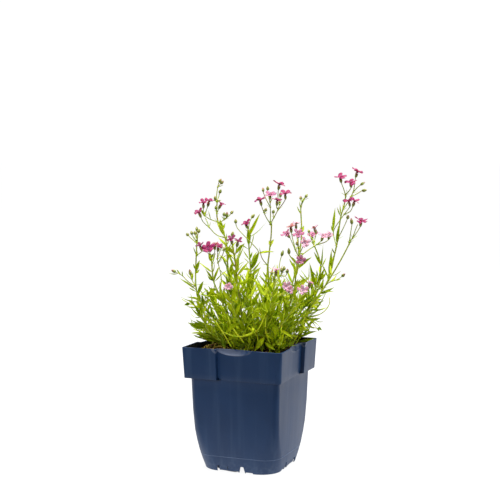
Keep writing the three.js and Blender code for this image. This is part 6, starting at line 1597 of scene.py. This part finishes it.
# how red the stems are: most of them, the red stem and the side stems of the rosy cluster
STEM_REDNESS, RED_STEM, ROSY_SIDES = (0, 0.4), 0.75, 0.7
BLADE_TWIST, BLADE_RIPPLE = 0.7, 0.35
green_finishes = [leaf_green.material, stem_green.material, bud_green.material]
LEAF, STEM, BUD = range(3)
for spray in [*sprays, low]:
    growth = Growth()
    if spray["buried"]:
        spray["lines"][0]["kind"] = "main"
    for line in spray["lines"]:
        kind = line.get("kind", "side")
        route = [*spray["buried"], *line["knots"]] if kind == "main" else list(line["knots"])
        base, end = line["places"][0], line["places"][-1]
        axis = unit(line["places"][1] - base)
        redness = rng.uniform(*STEM_REDNESS)
        if spray is low or kind == "twig" or "mound" in spray["name"]:
            redness = 0
        if "red" in spray["name"] and kind == "main":
            redness = RED_STEM
        if "rosy_middle" in spray["name"] and kind == "side":
            redness = ROSY_SIDES
        pattern = long_stem if len(route) > 4 else short_stem
        growth.add(pattern, along_route(pattern, route, STEM_RADII[kind]),
                   tone=1.0 * (kind == "young"), blush=redness * pattern["along"], finish=STEM)
        if kind != "main" and spray is not low:
            points = on_axis(node_swelling, base, base + axis * NODE_LENGTH, NODE_RADIUS)
            growth.add(node_swelling, points, along=0.5, finish=STEM)
        if kind == "side":
            # a pair of bracts where it forks off
            out = unit(np.cross(axis, TOWARD + UP * rng.uniform(-BRACT_TILT, BRACT_TILT)))
            for way in (1, -1):
                opening = axis + out * way * rng.uniform(*BRACT_OPENING)
                tip = base + opening * BRACT_LENGTH * rng.uniform(*BRACT_LENGTHS)
                side = np.cross(axis, out) + out * BRACT_CUP
                bract = make_leaf(base, tip, BRACT_WIDTH, side, rng.uniform(*BRACT_ARCH))
                growth.add(blade, along_arc(blade, bract, BRACT_WIDTH / 2), tone=rng.uniform(0, 1))
        if "bud" in line:
            points = on_axis(bud, end, line["bud"], BUD_RADIUS, rng.uniform(*ANY_TURN))
            growth.add(bud, points, tone=rng.uniform(0, 1), blush=rng.uniform(0, 1), finish=BUD)
        if "bloom" in line:
            points = on_axis(calyx, end, line["bloom"]["top"], CALYX_RADIUS, rng.uniform(*ANY_TURN))
            growth.add(calyx, points, tone=rng.uniform(0, 1), blush=rng.uniform(0.2, 0.8), finish=BUD)
    for leaf in spray["leaves"]:
        twist, ripple = rng.uniform(-BLADE_TWIST, BLADE_TWIST), rng.uniform(0, BLADE_RIPPLE)
        points = along_arc(blade, leaf, leaf["width"] / 2, twist, ripple)
        growth.add(blade, points, tone=leaf.get("tone", rng.uniform(0, 1)), finish=LEAF)
    name = spray["name"].replace("spray", "leafy").replace("mound", "leafy_mound")
    piece = growth.piece("leafy_low_shoots" if spray is low else name, green_finishes)
    if spray is not low:
        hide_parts(spray["name"])

# ---------------------------------------------------------------------------------------------
# The blooms: five thin, soft petals, notched at the end, spread flat round a pale eye with fine
# stamens. Each is made of copies of the modelled petal, throat and stamen, and sits in its calyx.
# ---------------------------------------------------------------------------------------------
# body of the petal, its veins and the paler or darker eye
TINTS = {
    "magenta": (tint(152, 30, 90), tint(100, 8, 54), tint(168, 80, 122)),
    "dark": (tint(130, 38, 86), tint(84, 16, 54), tint(152, 76, 112)),
    "rose": (tint(188, 112, 144), tint(158, 74, 116), tint(202, 152, 174)),
    "pale": (tint(208, 156, 172), tint(180, 118, 142), tint(216, 184, 192)),
    "faded": (tint(172, 106, 102), tint(128, 66, 70), tint(188, 140, 128)),
}
petal_finishes = {}
for name, (body, vein, eye) in TINTS.items():
    finish = Finish("petal_" + name, Specular_IOR_Level=0.25, Subsurface_Weight=0.25,
                    Subsurface_Scale=0.0008)
    along, across, tone = (finish.feature(key) for key in ("along", "across", "tone"))
    veins = finish.node("ShaderNodeTexWave", {"bands_direction": "X"}, {
        "Vector": finish.node("ShaderNodeCombineXYZ", {}, {0: across, 1: along * 0.3, 2: 0.0}),
        "Scale": 0.9, "Distortion": 1.2, "Detail": 2.0})
    petal_colour = finish.mixed(tone * 0.3, body, eye)
    petal_colour = finish.mixed((1 - along.within(0.1, 0.4)) * 0.5, petal_colour, eye)
    petal_colour = finish.mixed(veins * along.within(0.1, 0.4) * 0.22, petal_colour, vein)
    finish.paint("Base Color", petal_colour)
    finish.paint("Roughness", 0.55 + 0.1 * finish.noise(1500, 2))
    finish.relief(veins, 0.00006)
    petal_finishes[name] = finish.material
stamen_white = Finish("stamen_white", Roughness=0.5)
anther = stamen_white.feature("along").within(0.8, 0.85)
stamen_white.paint("Base Color", stamen_white.mixed(anther, tint(240, 214, 226), tint(150, 110, 130)))
# how broad and how long the petals of each colour are, and how they vary
PETAL_FULLNESS = {"magenta": 1.5, "dark": 1.3, "rose": 1.25, "pale": 1.15, "faded": 1.1}
PETAL_LENGTHS = {"magenta": (0.95, 1.14), "dark": (0.9, 1.08), "rose": (0.75, 1), "pale": (0.62, 1),
                 "faded": (0.85, 1)}
PETAL_WIDTHS, PETAL_LIFT, BEND_LIFT, PETAL_TWIST, PETAL_RIPPLE = (0.9, 1.08), (-0.6, 2.8), 0.2, 0.45, 0.4
STAMENS, STAMEN_RISE, STAMEN_SPREAD = 8, 2.6, (0.7, 1.3)
for spray in sprays:
    for bloom in spray["blooms"]:
        growth = Growth()
        for leaf in bloom["petals"]:
            fullness = PETAL_FULLNESS[bloom["tint"]]
            half = bloom["span"] * PETAL_SHARE * fullness * rng.uniform(*PETAL_WIDTHS)
            lift = bloom["facing"] * rng.uniform(*PETAL_LIFT)
            leaf = {**leaf, "bend": leaf["bend"] + lift * BEND_LIFT, "tip": leaf["tip"] + lift}
            length = rng.uniform(*PETAL_LENGTHS[bloom["tint"]])
            shape = {"points": petal["points"] * (1, length, 1)}
            twist, ripple = rng.uniform(-PETAL_TWIST, PETAL_TWIST), rng.uniform(0, PETAL_RIPPLE)
            growth.add(petal, along_arc(shape, leaf, half, twist, ripple), tone=rng.uniform(0, 1))
        mouth = bloom["top"] + bloom["facing"] * STAMEN_RISE
        growth.add(throat, on_axis(throat, bloom["top"], mouth, 1), throat["along"] * 0.6)
        deep = np.cross(bloom["facing"], bloom["flat"])
        for i in range(STAMENS):
            angle = i * math.tau / STAMENS
            out = bloom["flat"] * math.cos(angle) + deep * math.sin(angle)
            tip = mouth + out * rng.uniform(*STAMEN_SPREAD)
            growth.add(stamen, on_axis(stamen, bloom["top"], tip, 1), finish=1)
        piece = growth.piece(bloom["name"].replace("bloom", "flower"),
                             [petal_finishes[bloom["tint"]], stamen_white.material])
        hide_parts(bloom["name"])
        "petal_" + bloom["tint"]

# ---------------------------------------------------------------------------------------------
# The photographer's table: a plain white sheet under the pot, a wide soft light overhead, a tall
# one to the right, and a white surround that is dimmer on the camera's side.
# ---------------------------------------------------------------------------------------------
CAMERA_PLACE = (0.4598, -1.1487, 0.3327)
CAMERA_TARGET = (-0.00495, 0.0096, 0.22715)
TABLE_RADIUS = 30

nothing_selected()
bpy.ops.mesh.primitive_circle_add(vertices=64, radius=TABLE_RADIUS, fill_type="NGON")
floor = bpy.context.object
floor.name = "white_table"
paper = Finish("white_paper", Roughness=0.9, Specular_IOR_Level=0.0, Emission_Strength=1.0)
paper.shader.inputs["Base Color"].default_value = (0.12, 0.12, 0.12, 1)
nearness, aside = (
    paper.node("ShaderNodeVectorMath", {"operation": "DOT_PRODUCT"}, {0: paper.place, 1: way}, "Value")
    for way in (TOWARD, ACROSS))
# it lights the pot from behind and beside, and hardly from the camera's side
dimming = (nearness + 0.4 * (aside + abs(aside))).within(-0.02, 0.24)
glow = paper.mixed(dimming, (1, 1, 1, 1), (0.03, 0.03, 0.03, 1))
distance = paper.node("ShaderNodeVectorMath", {"operation": "LENGTH"}, {0: paper.place}, "Value")
sheet = paper.mixed(distance.within(0.12, 0.5), (0.93, 0.93, 0.93, 1), (1, 1, 1, 1))
# painted shadow: the sheet under the pot is dark where it is seen through the foot ring's gaps, but for
# a strip that runs toward the camera
painted_shadow_under_pot = (1 - distance.within(0.0385, 0.0415)) * abs(aside - 0.003).within(0.014, 0.02)
sheet = paper.mixed(painted_shadow_under_pot, sheet, (0.01, 0.012, 0.02, 1))
seen = paper.node("ShaderNodeLightPath", output="Is Camera Ray")
paper.paint("Emission Color", paper.mixed(seen, glow, sheet))
floor.data.materials.append(paper.material)


def soft_light(name, place, aim, size, power, mirrored=True):
    """A square soft box, turned to what it lights; it may be kept out of reflections."""
    data = bpy.data.lights.new(name, "AREA")
    data.size, data.energy = size, power
    light = bpy.data.objects.new(name, data)
    bpy.context.collection.objects.link(light)
    light.location = place
    light.rotation_euler = (Vector(aim) - Vector(place)).to_track_quat("-Z", "Y").to_euler()
    light.visible_glossy = mirrored


soft_light("overhead", (0.1, 0.1, 1.5), (0, 0, 0.15), 1.3, 48)
soft_light("right_side", (1.5, 0.5, 0.5), (0, 0, 0.12), 1.3, 13, False)
soft_light("front_fill", (-0.3, -1.9, 1.1), (0, 0, 0.15), 0.8, 13.5, False)

# the surround lights less from the camera's side, and is plain white where the camera sees it
world = bpy.data.worlds.new("soft_surround")
bpy.context.scene.world = world
world.use_nodes = True
sky = world.node_tree
surround = sky.nodes["Background"]
direction = sky.nodes.new("ShaderNodeTexCoord").outputs["Generated"]
toward = sky.nodes.new("ShaderNodeVectorMath")
toward.operation = "DOT_PRODUCT"
toward.inputs[1].default_value = TOWARD
sky.links.new(direction, toward.inputs[0])
dimmer = sky.nodes.new("ShaderNodeMapRange")
for socket, value in (("From Min", -0.6), ("From Max", 0.05), ("To Min", 2.0), ("To Max", 0.08)):
    dimmer.inputs[socket].default_value = value
sky.links.new(toward.outputs["Value"], dimmer.inputs["Value"])
sky.links.new(dimmer.outputs[0], surround.inputs["Strength"])
seen_white = sky.nodes.new("ShaderNodeBackground")
seen_white.inputs["Color"].default_value = (1, 1, 1, 1)
seen_white.inputs["Strength"].default_value = 1.05
rays = sky.nodes.new("ShaderNodeLightPath")
choice = sky.nodes.new("ShaderNodeMixShader")
sky.links.new(rays.outputs["Is Camera Ray"], choice.inputs[0])
sky.links.new(surround.outputs[0], choice.inputs[1])
sky.links.new(seen_white.outputs[0], choice.inputs[2])
sky.links.new(choice.outputs[0], sky.nodes["World Output"].inputs["Surface"])

camera_data = bpy.data.cameras.new("camera")
camera_data.lens, camera_data.sensor_width = 85, 36
camera = bpy.data.objects.new("camera", camera_data)
bpy.context.collection.objects.link(camera)
camera.location = CAMERA_PLACE
camera.rotation_euler = (Vector(CAMERA_TARGET) - camera.location).to_track_quat("-Z", "Y").to_euler()
bpy.context.scene.camera = camera
bpy.context.scene.view_settings.view_transform = "Standard"
